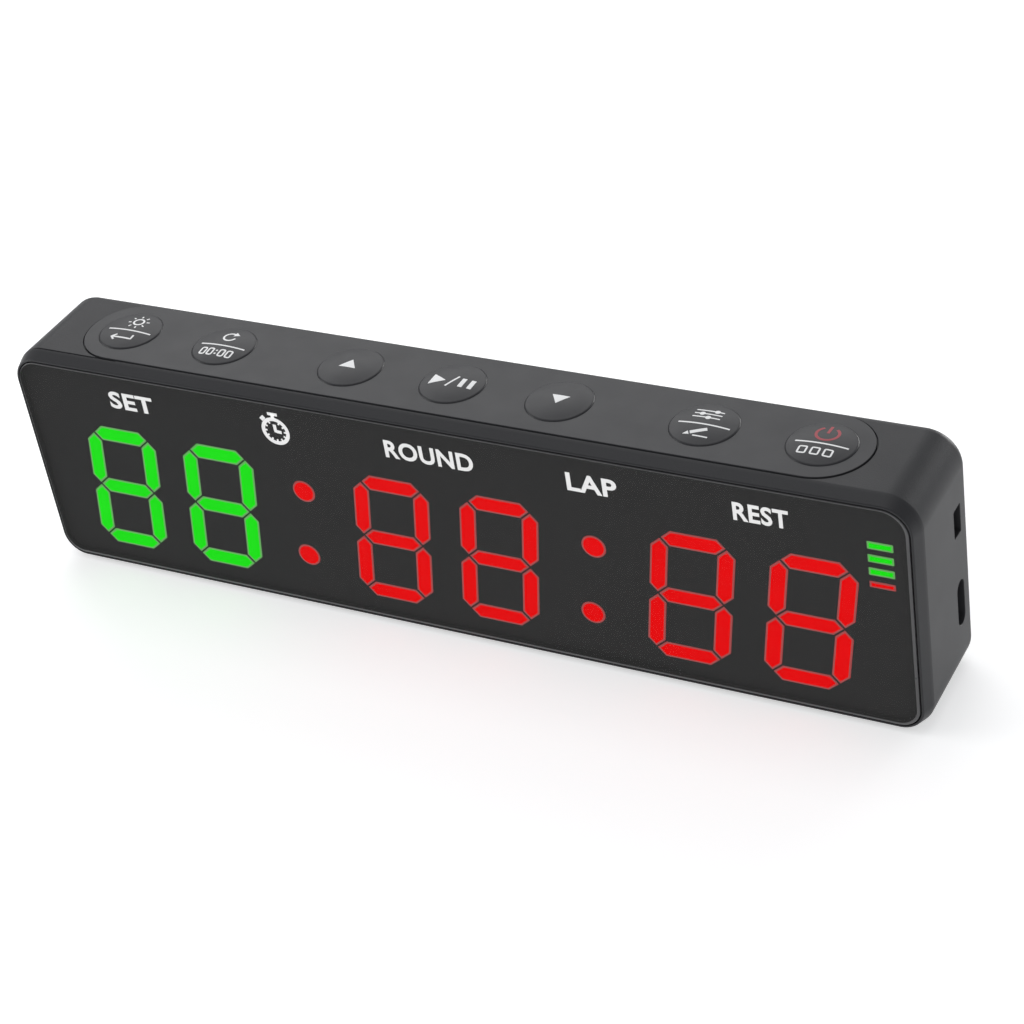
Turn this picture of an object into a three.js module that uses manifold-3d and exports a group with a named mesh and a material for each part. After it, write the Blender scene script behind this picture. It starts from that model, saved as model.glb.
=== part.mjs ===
// Portable LED round timer for a gym: a rounded black case with a smoked front lens, six
// seven-segment digits, a strip of seven push keys along the top and, on the right end, a slide
// switch and a USB-C charging port.
// Millimetres, +Z up. The display faces -Y and the origin is the centre of the base.
import * as THREE from "three";
import { mergeVertices } from "three/addons/utils/BufferGeometryUtils.js";
import Module from "manifold-3d";

const wasm = await Module();
wasm.setup();

// ---------------------------------------------------------------- driving dimensions
const WIDTH = 200;
const HEIGHT = 52.8; // case only, without the key domes
const FRONT_Y = -13; // front face of the lens
const BACK_Y = 13; // rear face of the cover
const TOP_CORNER_RADIUS = 7;
const BOTTOM_CORNER_RADIUS = 6;
const CORNER_STEPS = 6;
const REAR_EDGE_RADIUS = 2.5;
const REAR_EDGE_STEPS = 4;
// The sloping band between the sides and the lens pocket: depth behind the lens face, and inset
const FRONT_BAND = [[0.1, 1.45], [2.4, 0.3], [3.3, 0]];
const WALL = 2.6;
const ROUND_SIDES = 20;
const SMALL_SIDES = 12;

// Lens, held on a ledge by a frame of tape
const LENS_THICKNESS = 1.2;
const LENS_CHAMFER = 0.4;
const LENS_GAP = 0.3;
const POCKET_INSET = 1.4;
const LEDGE_INSET = 3.6;
const LEDGE_FRONT_Y = -11.5;
const LEDGE_BACK_Y = -10.2;
const TAPE_FRONT_Y = -11.75;
const TAPE_BACK_Y = -11.55;

// Rear cover and its screws
const COVER_FRONT_Y = 10.8;
const COVER_CHAMFER = 0.3;
const COVER_GAP = 0.15;
const HOUSING_BACK_Y = 12.8;
const BOSS_INSET = 6.4;
const BOSS_RADIUS = 2.9;
const BOSS_FRONT_Y = -9;
const BOSS_BACK_Y = 10.6;
const RIB = 1.2;
const PILOT_RADIUS = 1;
const PILOT_DEPTH = 9;
const COVER_HOLE_RADIUS = 1.5;
const COUNTERBORE_RADIUS = 2.7;
const COUNTERBORE_DEPTH = 1.4;

// Display, seen through the lens. Digit sizes run between the centre lines of the segments.
const DISPLAY_X = -0.5;
const DISPLAY_Z = 21.2;
const GROUP_PITCH = 65.6;
const DIGIT_PITCH = 24.3;
const DIGIT_HALF_WIDTH = 6.9;
const DIGIT_HALF_HEIGHT = 13.75;
const SEGMENT_WIDTH = 3.6;
const SEGMENT_TIP_GAP = 0.4;
const SLANT = 0.14; // sideways lean per millimetre of height
const DOT_RADIUS = 2.6;
const DOT_HEIGHT = 8.3;
const GAUGE_X = 92.2;
const GAUGE_TOP_Z = 42;
const GAUGE_PITCH = 2.95;
const GAUGE_BAR = { width: 5, height: 1.9 };
const GAUGE_LOW_BAR_HEIGHT = 1.6;
const LEGEND_Z = 43.7;
const LIGHT_CLEARANCE = 0.12; // between a light window in the reflector and what fills it
const STRIP = { halfWidth: 84, height: 8, frontY: -11.76, backY: -11.61 };
const REFLECTOR = { frontY: -11.55, faceBackY: -10.8, backY: -6.6, inset: 4, topZ: 48.2 };
const BOSS_CLEARANCE = 0.4; // round the bosses, in the notched corners of reflector and board
const DIFFUSER = { faceY: -11.5, plateFrontY: -6.5, backY: -5.7, margin: 0.6 };
const BOARD = { frontY: -4.5, backY: -2.9, inset: 3.1, topZ: 48.3 };
const LED_CHIP = { width: 1.8, height: 2.4, depth: 0.8 };

// Screws that hold the display board, in posts on the top and bottom walls
const POST_RADIUS = 2.4;
const BOARD_POSTS = [
  { x: -2.6, z: 4.6 },
  { x: 38.5, z: HEIGHT - 4.6 },
];

// Keys: x of each key on the top, and the levels of what lies under it
const KEYS = [
  { name: "brightness", x: -77.1 },
  { name: "reset", x: -53.7 },
  { name: "up", x: -23.4 },
  { name: "start", x: 0 },
  { name: "down", x: 23.4 },
  { name: "set", x: 53.7 },
  { name: "power", x: 77.1 },
];
const KEY_Y = 0.7;
const KEY_RADIUS = 6.8;
const KEY_HOLE_RADIUS = 7.05;
const KEY_FLANGE = { radius: 7.7, bottomZ: 49.2, topZ: 49.9 };
const KEY_STEM = { radius: 1.6, bottomZ: 47.4 };
const KEY_EDGE_Z = 53.1;
const KEY_TOP_Z = 53.8;
const OVERLAY = { halfLength: 86.95, radius: 10.15, y: 0.65, bottomZ: 52.35, topZ: 53, gap: 0.2 };
const OVERLAY_RECESS_Z = 52.3;
const KEY_BOARD = { halfWidth: 84, frontY: -2.6, backY: 6.5, bottomZ: 41.8, topZ: 43 };
const TACT_SWITCH = { size: 6, bottomZ: 43.05, topZ: 46.5, holeRadius: 1.95, holeZ: 44.6 };
const PLUNGER = { radius: 1.7, bottomZ: 45.6, topZ: 47.3 };
const KEY_BOARD_POST = { x: 38.5, y: 2.6, bottomZ: 43.1, holeDepth: 5 };

// Right end: charging port below, slide switch above, both on the power board
const PORT_Y = 6.5;
const PORT_Z = 17.4;
const PORT_HOLE = { width: 3.6, height: 10.4 };
const USB_SHELL = { width: 3.2, height: 8.9, wall: 0.3, backX: 91.2, frontX: 98.6 };
const USB_TONGUE = { thickness: 0.7, height: 6.7, frontX: 98.1 };
const SWITCH_Z = 36.2;
const SWITCH_HOLE = { width: 3.4, height: 6.2 };
const SWITCH_BODY = { backX: 91.5, frontX: 97, width: 3.6, height: 8.6 };
const KNOB = { backX: 96.2, frontX: 98.9, width: 2, height: 2.6 };
const KNOB_TRAVEL = 2;
const POWER_BOARD = { backX: 76, frontX: 97, frontY: 3.5, backY: 4.7, bottomZ: 11, topZ: 41.3 };

// Loose parts between the display board and the rear cover
const SEAT = 0.1; // between a board and what is mounted on it
const BATTERY = { x: -38, z: 22.5, width: 50, height: 34, frontY: -2.1, backY: 6.5, edge: 2 };
const CONNECTOR = { x: 2, z: 33, width: 6, height: 7, backY: 1.6 };
const LEAD = { radius: 1, gap: 0.3, fromY: 2.2, toY: 0.2, rise: 3 };
const RIBBON = { x0: 20, x1: 32, startY: 1, bottomZ: 32, thickness: 0.3 };
const RIBBON_DROP = 1.5;
const CONTROLLER = { x: 16, z: 24, size: 12, depth: 1.8 };
const BUZZER = { x: 58, z: 14, radius: 6, backY: 5.6, mouthRadius: 1.2, mouthDepth: 1.5 };
const VENT = { radius: 0.7, pitch: 2.6 };
const MAGNET = { x: 56, z: 28.5, width: 40, height: 10, frontY: 8.1, backY: 10.6 };
const MAGNET_RIB = { gap: 0.25, wall: 1.2, frontY: 8.8 };

const JOIN = 0.3; // how far a boss, rib or raised face is sunk into the piece that carries it

// ---------------------------------------------------------------- materials
const material = (color, roughness, metalness = 0) =>
  new THREE.MeshStandardMaterial({ color, roughness, metalness });
const caseBlack = material(0x2b2b2f, 0.55);
const coverBlack = material(0x29292c, 0.6);
const overlayGrey = material(0x3d3d40, 0.6);
const keyGrey = material(0x38383b, 0.5);
const smokedLens = material(0x18181a, 0.15);
const maskBlack = material(0x0c0c0d, 0.8);
const glowGreen = material(0x24e81f, 0.4);
const glowRed = material(0xf01418, 0.4);
const tapeBlack = material(0x111111, 0.9);
const boardGreen = material(0x14502a, 0.5);
const chipBlack = material(0x17171a, 0.5);
const switchBlack = material(0x1c1c1e, 0.5);
const steel = material(0xb4b6ba, 0.35, 1);
const nickel = material(0x9a9ca0, 0.3, 1);
const cellSilver = material(0xa8adb5, 0.45, 0.6);
const leadRed = material(0xa81818, 0.5);
const ribbonWhite = material(0xd9d9d4, 0.6);

// ---------------------------------------------------------------- solid helpers
function solid(geometry) {
  const bare = geometry.index ? geometry.toNonIndexed() : geometry.clone();
  bare.deleteAttribute("normal");
  bare.deleteAttribute("uv");
  const merged = mergeVertices(bare, 1e-4);
  return new wasm.Manifold(
    new wasm.Mesh({
      numProp: 3,
      vertProperties: merged.getAttribute("position").array,
      triVerts: new Uint32Array(merged.index.array),
    }),
  );
}

function geometryOf(manifold) {
  const mesh = manifold.getMesh();
  const geometry = new THREE.BufferGeometry();
  geometry.setAttribute("position", new THREE.BufferAttribute(mesh.vertProperties, 3));
  geometry.setIndex(new THREE.BufferAttribute(mesh.triVerts, 1));
  geometry.computeVertexNormals();
  return geometry;
}

const join = (base, parts) => parts.reduce((sum, part) => sum.add(solid(part)), base);
const cut = (base, parts) => parts.reduce((rest, part) => rest.subtract(solid(part)), base);

function box(x0, x1, y0, y1, z0, z1) {
  const shape = new THREE.BoxGeometry(x1 - x0, y1 - y0, z1 - z0);
  return shape.translate((x0 + x1) / 2, (y0 + y1) / 2, (z0 + z1) / 2);
}

// Cylinders along Y (through the depth) and along Z (upright)
function depthCylinder(radius, x, z, y0, y1, sides = ROUND_SIDES) {
  const shape = new THREE.CylinderGeometry(radius, radius, y1 - y0, sides);
  return shape.translate(x, (y0 + y1) / 2, z);
}

function uprightCylinder(radius, x, y, z0, z1, sides = ROUND_SIDES) {
  const shape = new THREE.CylinderGeometry(radius, radius, z1 - z0, sides);
  return shape.rotateX(Math.PI / 2).translate(x, y, (z0 + z1) / 2);
}

// A plate drawn in X and Z, from y0 at the front to y1 at the back
function plate(points, y0, y1) {
  const options = { depth: y1 - y0, bevelEnabled: false };
  const shape = new THREE.ExtrudeGeometry(new THREE.Shape(points), options);
  return shape.rotateX(Math.PI / 2).translate(0, y1, 0);
}

// The case outline seen from the front, moved in from the case's sides
function outline(inset) {
  const right = WIDTH / 2 - inset;
  const top = HEIGHT - inset;
  const corner = (x, z, radius, turn) => {
    const r = Math.max(radius - inset, 0.4);
    const [signX, signZ] = [Math.sign(x), z > HEIGHT / 2 ? 1 : -1];
    return Array.from({ length: CORNER_STEPS + 1 }, (_, i) => {
      const angle = ((turn + i / CORNER_STEPS) * Math.PI) / 2;
      return new THREE.Vector2(
        x - signX * r + r * Math.cos(angle),
        z - signZ * r + r * Math.sin(angle),
      );
    });
  };
  return [
    ...corner(right, top, TOP_CORNER_RADIUS, 0),
    ...corner(-right, top, TOP_CORNER_RADIUS, 1),
    ...corner(-right, inset, BOTTOM_CORNER_RADIUS, 2),
    ...corner(right, inset, BOTTOM_CORNER_RADIUS, 3),
  ];
}

// A closed skin through case outlines, given from front to back as [y, inset]
function loft(rings) {
  const loops = rings.map(([y, inset]) => outline(inset).map((p) => [p.x, y, p.y]));
  const count = loops[0].length;
  const triangles = [];
  for (let i = 0; i + 1 < loops.length; i++)
    for (let j = 0; j < count; j++) {
      const next = (j + 1) % count;
      const [a, b, c, d] = [loops[i][j], loops[i + 1][j], loops[i][next], loops[i + 1][next]];
      triangles.push(a, b, c, c, b, d);
    }
  const [front, back] = [loops[0], loops.at(-1)];
  for (let j = 1; j + 1 < count; j++)
    triangles.push(front[0], front[j], front[j + 1], back[0], back[j + 1], back[j]);
  const positions = new Float32Array(triangles.flat());
  return new THREE.BufferGeometry().setAttribute("position", new THREE.BufferAttribute(positions, 3));
}

// A stadium: a slot with round ends, its long side along the second axis of the drawing
function stadium(width, height, steps = 6) {
  const r = width / 2;
  const reach = height / 2 - r;
  const end = (turn, centre) =>
    Array.from({ length: steps + 1 }, (_, i) => {
      const angle = (turn + i / steps) * Math.PI;
      return new THREE.Vector2(r * Math.cos(angle), centre + r * Math.sin(angle));
    });
  return [...end(0, reach), ...end(1, -reach)];
}

// A stadium standing up on the right end of the case, from x0 inside to x1 outside
function portSlot(width, height, y, z, x0, x1) {
  const options = { depth: x1 - x0, bevelEnabled: false };
  const shape = new THREE.ExtrudeGeometry(new THREE.Shape(stadium(width, height)), options);
  return shape.rotateX(Math.PI / 2).rotateZ(Math.PI / 2).translate(x0, y, z);
}

const timer = new THREE.Group();
function addMesh(name, geometry, look, x = 0, y = 0, z = 0) {
  const mesh = new THREE.Mesh(geometry, look);
  mesh.name = name;
  mesh.position.set(x, y, z);
  timer.add(mesh);
  return mesh;
}

// ---------------------------------------------------------------- housing
const sides = [-1, 1];
const bossX = WIDTH / 2 - BOSS_INSET;
const coverBosses = sides.flatMap((side) =>
  [BOSS_INSET, HEIGHT - BOSS_INSET].map((z) => ({ x: side * bossX, z })),
);

const rearEdge = () =>
  Array.from({ length: REAR_EDGE_STEPS + 1 }, (_, i) => {
    const angle = ((i / REAR_EDGE_STEPS) * Math.PI) / 2;
    return [
      HOUSING_BACK_Y - REAR_EDGE_RADIUS * (1 - Math.sin(angle)),
      REAR_EDGE_RADIUS * (1 - Math.cos(angle)),
    ];
  });

function housing() {
  const inside = WIDTH / 2 - WALL;
  const ceiling = HEIGHT - WALL;
  const frontBand = FRONT_BAND.map(([depth, inset]) => [FRONT_Y + depth, inset]);
  const shell = solid(loft([...frontBand, ...rearEdge()]));
  const hollow = cut(shell, [
    plate(outline(POCKET_INSET), FRONT_Y - 1, LEDGE_FRONT_Y),
    plate(outline(LEDGE_INSET), LEDGE_FRONT_Y - 1, LEDGE_BACK_Y + 1),
    plate(outline(WALL), LEDGE_BACK_Y, HOUSING_BACK_Y + 1),
  ]);

  const bosses = coverBosses.flatMap(({ x, z }) => {
    const outward = Math.sign(x);
    const low = z < HEIGHT / 2;
    const wallX = outward * (inside + JOIN);
    const wallZ = low ? WALL - JOIN : ceiling + JOIN;
    const ribX = [Math.min(x, wallX), Math.max(x, wallX)];
    const ribZ = [Math.min(z, wallZ), Math.max(z, wallZ)];
    return [
      depthCylinder(BOSS_RADIUS, x, z, BOSS_FRONT_Y, BOSS_BACK_Y, SMALL_SIDES),
      box(...ribX, BOSS_FRONT_Y, BOSS_BACK_Y, z - RIB / 2, z + RIB / 2),
      box(x - RIB / 2, x + RIB / 2, BOSS_FRONT_Y, BOSS_BACK_Y, ...ribZ),
    ];
  });
  const boardPosts = BOARD_POSTS.map(({ x, z }) =>
    depthCylinder(POST_RADIUS, x, z, LEDGE_BACK_Y - JOIN, BOARD.frontY - 0.1, SMALL_SIDES),
  );
  const keyBoardPosts = sides.map((side) =>
    uprightCylinder(
      POST_RADIUS, side * KEY_BOARD_POST.x, KEY_BOARD_POST.y,
      KEY_BOARD_POST.bottomZ, ceiling + JOIN, SMALL_SIDES,
    ),
  );
  const coverStops = sides.map((side) =>
    box(side * 25 - 3, side * 25 + 3, 4, BOSS_BACK_Y, WALL - JOIN, WALL + 1.4),
  );
  const ribbed = join(hollow, [...bosses, ...boardPosts, ...keyBoardPosts, ...coverStops]);

  return cut(ribbed, [
    ...coverBosses.map(({ x, z }) =>
      depthCylinder(PILOT_RADIUS, x, z, BOSS_BACK_Y - PILOT_DEPTH, BOSS_BACK_Y + 1, SMALL_SIDES),
    ),
    ...BOARD_POSTS.map(({ x, z }) =>
      depthCylinder(PILOT_RADIUS, x, z, BOARD.frontY - 4.5, BOARD.frontY + 1, SMALL_SIDES),
    ),
    ...sides.map((side) =>
      uprightCylinder(
        PILOT_RADIUS, side * KEY_BOARD_POST.x, KEY_BOARD_POST.y,
        KEY_BOARD_POST.bottomZ - 1, KEY_BOARD_POST.bottomZ + KEY_BOARD_POST.holeDepth, SMALL_SIDES,
      ),
    ),
    overlaySlab(OVERLAY.gap, OVERLAY_RECESS_Z, HEIGHT + 1),
    ...KEYS.map(({ x }) => uprightCylinder(KEY_HOLE_RADIUS, x, KEY_Y, ceiling - 1, HEIGHT + 1)),
    portSlot(PORT_HOLE.width, PORT_HOLE.height, PORT_Y, PORT_Z, inside - 1, WIDTH / 2 + 1),
    box(
      inside - 1, WIDTH / 2 + 1,
      PORT_Y - SWITCH_HOLE.width / 2, PORT_Y + SWITCH_HOLE.width / 2,
      SWITCH_Z - SWITCH_HOLE.height / 2, SWITCH_Z + SWITCH_HOLE.height / 2,
    ),
  ]);
}

// ---------------------------------------------------------------- keypad on the top
function overlaySlab(grow, z0, z1) {
  const [breadth, length] = [2 * (OVERLAY.radius + grow), 2 * (OVERLAY.halfLength + grow)];
  const options = { depth: z1 - z0, bevelEnabled: false };
  const shape = new THREE.Shape(stadium(breadth, length, 10));
  return new THREE.ExtrudeGeometry(shape, options)
    .rotateZ(-Math.PI / 2)
    .translate(0, OVERLAY.y, z0);
}

function keypadOverlay() {
  const slab = solid(overlaySlab(0, OVERLAY.bottomZ, OVERLAY.topZ));
  return cut(slab, KEYS.map(({ x }) =>
    uprightCylinder(KEY_HOLE_RADIUS - 0.05, x, KEY_Y, OVERLAY.bottomZ - 1, OVERLAY.topZ + 1),
  ));
}

// A turned solid from [radius, z] pairs, listed from the bottom to the top
function turned(profile, turns = ROUND_SIDES) {
  const points = profile.map(([r, z]) => new THREE.Vector2(r, z));
  return new THREE.LatheGeometry(points, turns).rotateX(Math.PI / 2);
}

const keyCap = () => turned([
  [0, KEY_STEM.bottomZ],
  [KEY_STEM.radius, KEY_STEM.bottomZ],
  [KEY_STEM.radius, KEY_FLANGE.bottomZ],
  [KEY_FLANGE.radius, KEY_FLANGE.bottomZ],
  [KEY_FLANGE.radius, KEY_FLANGE.topZ],
  [KEY_RADIUS, KEY_FLANGE.topZ],
  [KEY_RADIUS, KEY_EDGE_Z],
  [KEY_RADIUS - 0.5, KEY_EDGE_Z + 0.4],
  [KEY_RADIUS - 2.4, KEY_TOP_Z - 0.12],
  [0, KEY_TOP_Z],
]);

function tactSwitch() {
  const half = TACT_SWITCH.size / 2;
  const body = solid(box(-half, half, -half, half, TACT_SWITCH.bottomZ, TACT_SWITCH.topZ));
  return cut(body, [
    uprightCylinder(TACT_SWITCH.holeRadius, 0, 0, TACT_SWITCH.holeZ, TACT_SWITCH.topZ + 1, SMALL_SIDES),
  ]);
}

function addKeypad() {
  addMesh("keypad_overlay", geometryOf(keypadOverlay()), overlayGrey);
  const cap = geometryOf(solid(keyCap()));
  const plunger = uprightCylinder(PLUNGER.radius, 0, 0, PLUNGER.bottomZ, PLUNGER.topZ, SMALL_SIDES);
  const body = geometryOf(tactSwitch());
  for (const { name, x } of KEYS) {
    addMesh(`key_cap_${name}`, cap, keyGrey, x, KEY_Y);
    addMesh(`switch_plunger_${name}`, plunger, switchBlack, x, KEY_Y);
    addMesh(`tact_switch_${name}`, body, nickel, x, KEY_Y);
  }
}

function keyBoard() {
  const { halfWidth, frontY, backY, bottomZ, topZ } = KEY_BOARD;
  const board = solid(box(-halfWidth, halfWidth, frontY, backY, bottomZ, topZ));
  return cut(board, sides.map((side) =>
    uprightCylinder(1.2, side * KEY_BOARD_POST.x, KEY_BOARD_POST.y, bottomZ - 1, topZ + 1, SMALL_SIDES),
  ));
}

// ---------------------------------------------------------------- display
const slanted = (x, z) => new THREE.Vector2(x + SLANT * z, z);

// The seven segments of a digit, each a hexagon with pointed ends, about the digit's centre
function segmentOutlines(grow = 0) {
  const half = SEGMENT_WIDTH / 2 + grow;
  const [w, h] = [DIGIT_HALF_WIDTH, DIGIT_HALF_HEIGHT];
  const back = SEGMENT_TIP_GAP - grow * Math.SQRT2;
  const bar = (from, to, across) => {
    const [a, b] = [from + back, to - back];
    const ends = [[a, 0], [a + half, -half], [b - half, -half], [b, 0], [b - half, half], [a + half, half]];
    return ends.map(([along, off]) => across(along, off));
  };
  const level = (z) => bar(-w, w, (along, off) => slanted(along, z + off));
  const upright = (x, from, to) => bar(from, to, (along, off) => slanted(x - off, along));
  return [
    level(h), level(0), level(-h),
    upright(-w, 0, h), upright(w, 0, h), upright(-w, -h, 0), upright(w, -h, 0),
  ];
}

const moved = (points, x, z) => points.map((p) => new THREE.Vector2(p.x + x, p.y + z));

const digitCentres = [-1, 0, 1].flatMap((group) =>
  sides.map((side) => DISPLAY_X + group * GROUP_PITCH + (side * DIGIT_PITCH) / 2),
);
const colonCentres = sides.map((side) => DISPLAY_X + (side * GROUP_PITCH) / 2);
const gaugeBars = [0, 1, 2, 3].map((i) => ({
  z: GAUGE_TOP_Z - i * GAUGE_PITCH,
  height: i < 3 ? GAUGE_BAR.height : GAUGE_LOW_BAR_HEIGHT,
}));
const gaugeBox = ({ z, height }, y0, y1, grow = 0) =>
  box(
    GAUGE_X - GAUGE_BAR.width / 2 - grow, GAUGE_X + GAUGE_BAR.width / 2 + grow,
    y0, y1, z - height / 2 - grow, z + height / 2 + grow,
  );
const dotAt = (x, side, radius, y0, y1) =>
  depthCylinder(
    radius, x + SLANT * side * DOT_HEIGHT, DISPLAY_Z + side * DOT_HEIGHT, y0, y1, SMALL_SIDES,
  );

// A board-shaped outline that leaves the four cover bosses free
function notchedOutline(inset, topZ) {
  const right = WIDTH / 2 - inset;
  const notch = BOSS_INSET + BOSS_RADIUS + BOSS_CLEARANCE;
  const notchX = WIDTH / 2 - notch;
  const [stepZ, highStepZ] = [notch, HEIGHT - notch];
  const half = [
    [notchX, inset], [notchX, stepZ], [right, stepZ],
    [right, highStepZ], [notchX, highStepZ], [notchX, topZ],
  ];
  const mirrored = half.map(([x, z]) => [-x, z]).reverse();
  return [...half, ...mirrored].map(([x, z]) => new THREE.Vector2(x, z));
}

const postNotches = (y0, y1) =>
  BOARD_POSTS.map(({ x, z }) => {
    const reach = POST_RADIUS + 0.3;
    const [z0, z1] = z < HEIGHT / 2 ? [0, z + reach] : [z - reach, HEIGHT];
    return box(x - reach, x + reach, y0, y1, z0, z1);
  });

// A full face behind the lens on a block that leaves room for the bosses and posts
function displayReflector() {
  const { frontY, faceBackY, backY, inset, topZ } = REFLECTOR;
  const [y0, y1] = [frontY - 1, backY + 1];
  const block = cut(
    solid(plate(notchedOutline(inset, topZ), frontY + JOIN, backY)),
    postNotches(frontY, y1),
  );
  const windows = [
    ...digitCentres.flatMap((x) =>
      segmentOutlines(LIGHT_CLEARANCE).map((s) => plate(moved(s, x, DISPLAY_Z), y0, y1)),
    ),
    ...colonCentres.flatMap((x) =>
      sides.map((side) => dotAt(x, side, DOT_RADIUS + LIGHT_CLEARANCE, y0, y1)),
    ),
    ...gaugeBars.map((bar) => gaugeBox(bar, y0, y1, LIGHT_CLEARANCE)),
  ];
  return cut(join(block, [plate(outline(inset), frontY, faceBackY)]), windows);
}

function digitDiffuser() {
  const { faceY, plateFrontY, backY, margin } = DIFFUSER;
  const w = DIGIT_HALF_WIDTH + SEGMENT_WIDTH / 2 + margin;
  const h = DIGIT_HALF_HEIGHT + SEGMENT_WIDTH / 2 + margin;
  const corners = [slanted(w, -h), slanted(w, h), slanted(-w, h), slanted(-w, -h)];
  const sheet = solid(plate(corners, plateFrontY, backY));
  return join(sheet, segmentOutlines().map((s) => plate(s, faceY, plateFrontY + JOIN)));
}

function colonDiffuser(x) {
  const { faceY, plateFrontY, backY } = DIFFUSER;
  const reach = DOT_HEIGHT + DOT_RADIUS + 1;
  const sheet = solid(box(x - 4.5, x + 4.5, plateFrontY, backY, DISPLAY_Z - reach, DISPLAY_Z + reach));
  return join(sheet, sides.map((side) => dotAt(x, side, DOT_RADIUS, faceY, plateFrontY + JOIN)));
}

function gaugeDiffuser(bars) {
  const { faceY, plateFrontY, backY } = DIFFUSER;
  const top = bars[0].z + bars[0].height / 2;
  const bottom = bars.at(-1).z - bars.at(-1).height / 2;
  const sheet = solid(box(GAUGE_X - 2.8, GAUGE_X + 2.8, plateFrontY, backY, bottom, top));
  return join(sheet, bars.map((bar) => gaugeBox(bar, faceY, plateFrontY + JOIN)));
}

// The circuit board behind the reflector: an LED chip behind every light window in front, and the
// controller on the back
function displayBoard() {
  const { frontY, backY, inset, topZ } = BOARD;
  const board = solid(plate(notchedOutline(inset, topZ), frontY, backY));
  const { width, height, depth } = LED_CHIP;
  const chip = (x, z) =>
    box(x - width / 2, x + width / 2, frontY - depth, frontY + JOIN, z - height / 2, z + height / 2);
  const [w, h] = [DIGIT_HALF_WIDTH, DIGIT_HALF_HEIGHT];
  const segmentMiddles = [[0, h], [0, 0], [0, -h], [-w, h / 2], [w, h / 2], [-w, -h / 2], [w, -h / 2]];
  const chips = [
    ...digitCentres.flatMap((x) =>
      segmentMiddles.map(([dx, dz]) => chip(x + dx + SLANT * dz, DISPLAY_Z + dz)),
    ),
    ...colonCentres.flatMap((x) =>
      sides.map((side) => chip(x + SLANT * side * DOT_HEIGHT, DISPLAY_Z + side * DOT_HEIGHT)),
    ),
  ];
  const screwHoles = BOARD_POSTS.map(({ x, z }) =>
    depthCylinder(1.3, x, z, frontY - 1, backY + 1, SMALL_SIDES),
  );
  const { x, z, size } = CONTROLLER;
  const controller = box(
    x - size / 2, x + size / 2, backY - JOIN, backY + CONTROLLER.depth, z - size / 2, z + size / 2,
  );
  return cut(join(board, [...chips, controller]), screwHoles);
}

function addDisplay() {
  const lensInset = POCKET_INSET + LENS_GAP;
  const lensBackY = FRONT_Y + LENS_THICKNESS;
  const lens = loft([
    [FRONT_Y, lensInset + LENS_CHAMFER],
    [FRONT_Y + LENS_CHAMFER, lensInset],
    [lensBackY, lensInset],
  ]);
  addMesh("front_lens", lens, smokedLens);
  const tape = cut(solid(plate(outline(lensInset), TAPE_FRONT_Y, TAPE_BACK_Y)), [
    plate(outline(LEDGE_INSET), TAPE_FRONT_Y - 1, TAPE_BACK_Y + 1),
  ]);
  addMesh("lens_tape", geometryOf(tape), tapeBlack);
  const stripX = [-STRIP.halfWidth, STRIP.halfWidth];
  const stripZ = [LEGEND_Z - STRIP.height / 2, LEGEND_Z + STRIP.height / 2];
  addMesh("legend_strip", box(...stripX, STRIP.frontY, STRIP.backY, ...stripZ), maskBlack);
  addMesh("display_reflector", geometryOf(displayReflector()), maskBlack);
  const digit = geometryOf(digitDiffuser());
  digitCentres.forEach((x, i) =>
    addMesh(`digit_diffuser_${i + 1}`, digit, i < 2 ? glowGreen : glowRed, x, 0, DISPLAY_Z),
  );
  colonCentres.forEach((x, i) =>
    addMesh(`colon_diffuser_${i + 1}`, geometryOf(colonDiffuser(x)), glowRed),
  );
  addMesh("gauge_diffuser_green", geometryOf(gaugeDiffuser(gaugeBars.slice(0, 3))), glowGreen);
  addMesh("gauge_diffuser_red", geometryOf(gaugeDiffuser(gaugeBars.slice(3))), glowRed);
  addMesh("display_board", geometryOf(displayBoard()), boardGreen);
}

// ---------------------------------------------------------------- right end
function addPowerEnd() {
  const board = POWER_BOARD;
  addMesh(
    "power_board",
    box(board.backX, board.frontX, board.frontY, board.backY, board.bottomZ, board.topZ),
    boardGreen,
  );

  const { width, height, wall, backX, frontX } = USB_SHELL;
  const slot = (grow, x0, x1) => portSlot(width + grow, height + grow, PORT_Y, PORT_Z, x0, x1);
  const shell = cut(solid(slot(0, backX, frontX)), [slot(-2 * wall, backX - 1, frontX + 1)]);
  addMesh("usb_shell", geometryOf(shell), nickel);
  const tongue = box(
    backX + 1, USB_TONGUE.frontX,
    PORT_Y - USB_TONGUE.thickness / 2, PORT_Y + USB_TONGUE.thickness / 2,
    PORT_Z - USB_TONGUE.height / 2, PORT_Z + USB_TONGUE.height / 2,
  );
  const insulator = join(solid(slot(-2 * wall - 0.3, backX + 0.2, backX + 1.8)), [tongue]);
  addMesh("usb_insulator", geometryOf(insulator), switchBlack);

  const body = SWITCH_BODY;
  const channel = box(
    KNOB.backX - 0.2, body.frontX + 1, PORT_Y - KNOB.width / 2 - 0.2, PORT_Y + KNOB.width / 2 + 0.2,
    SWITCH_Z - (KNOB.height + KNOB_TRAVEL) / 2 - 0.3, SWITCH_Z + (KNOB.height + KNOB_TRAVEL) / 2 + 0.3,
  );
  const block = box(
    body.backX, body.frontX, PORT_Y - body.width / 2 + 0.1, PORT_Y + body.width / 2,
    SWITCH_Z - body.height / 2, SWITCH_Z + body.height / 2,
  );
  addMesh("slide_switch_body", geometryOf(cut(solid(block), [channel])), nickel);
  addMesh(
    "slide_switch_knob",
    box(
      KNOB.backX, KNOB.frontX, -KNOB.width / 2, KNOB.width / 2, -KNOB.height / 2, KNOB.height / 2,
    ),
    switchBlack, 0, PORT_Y, SWITCH_Z - KNOB_TRAVEL / 2,
  );
}

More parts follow.
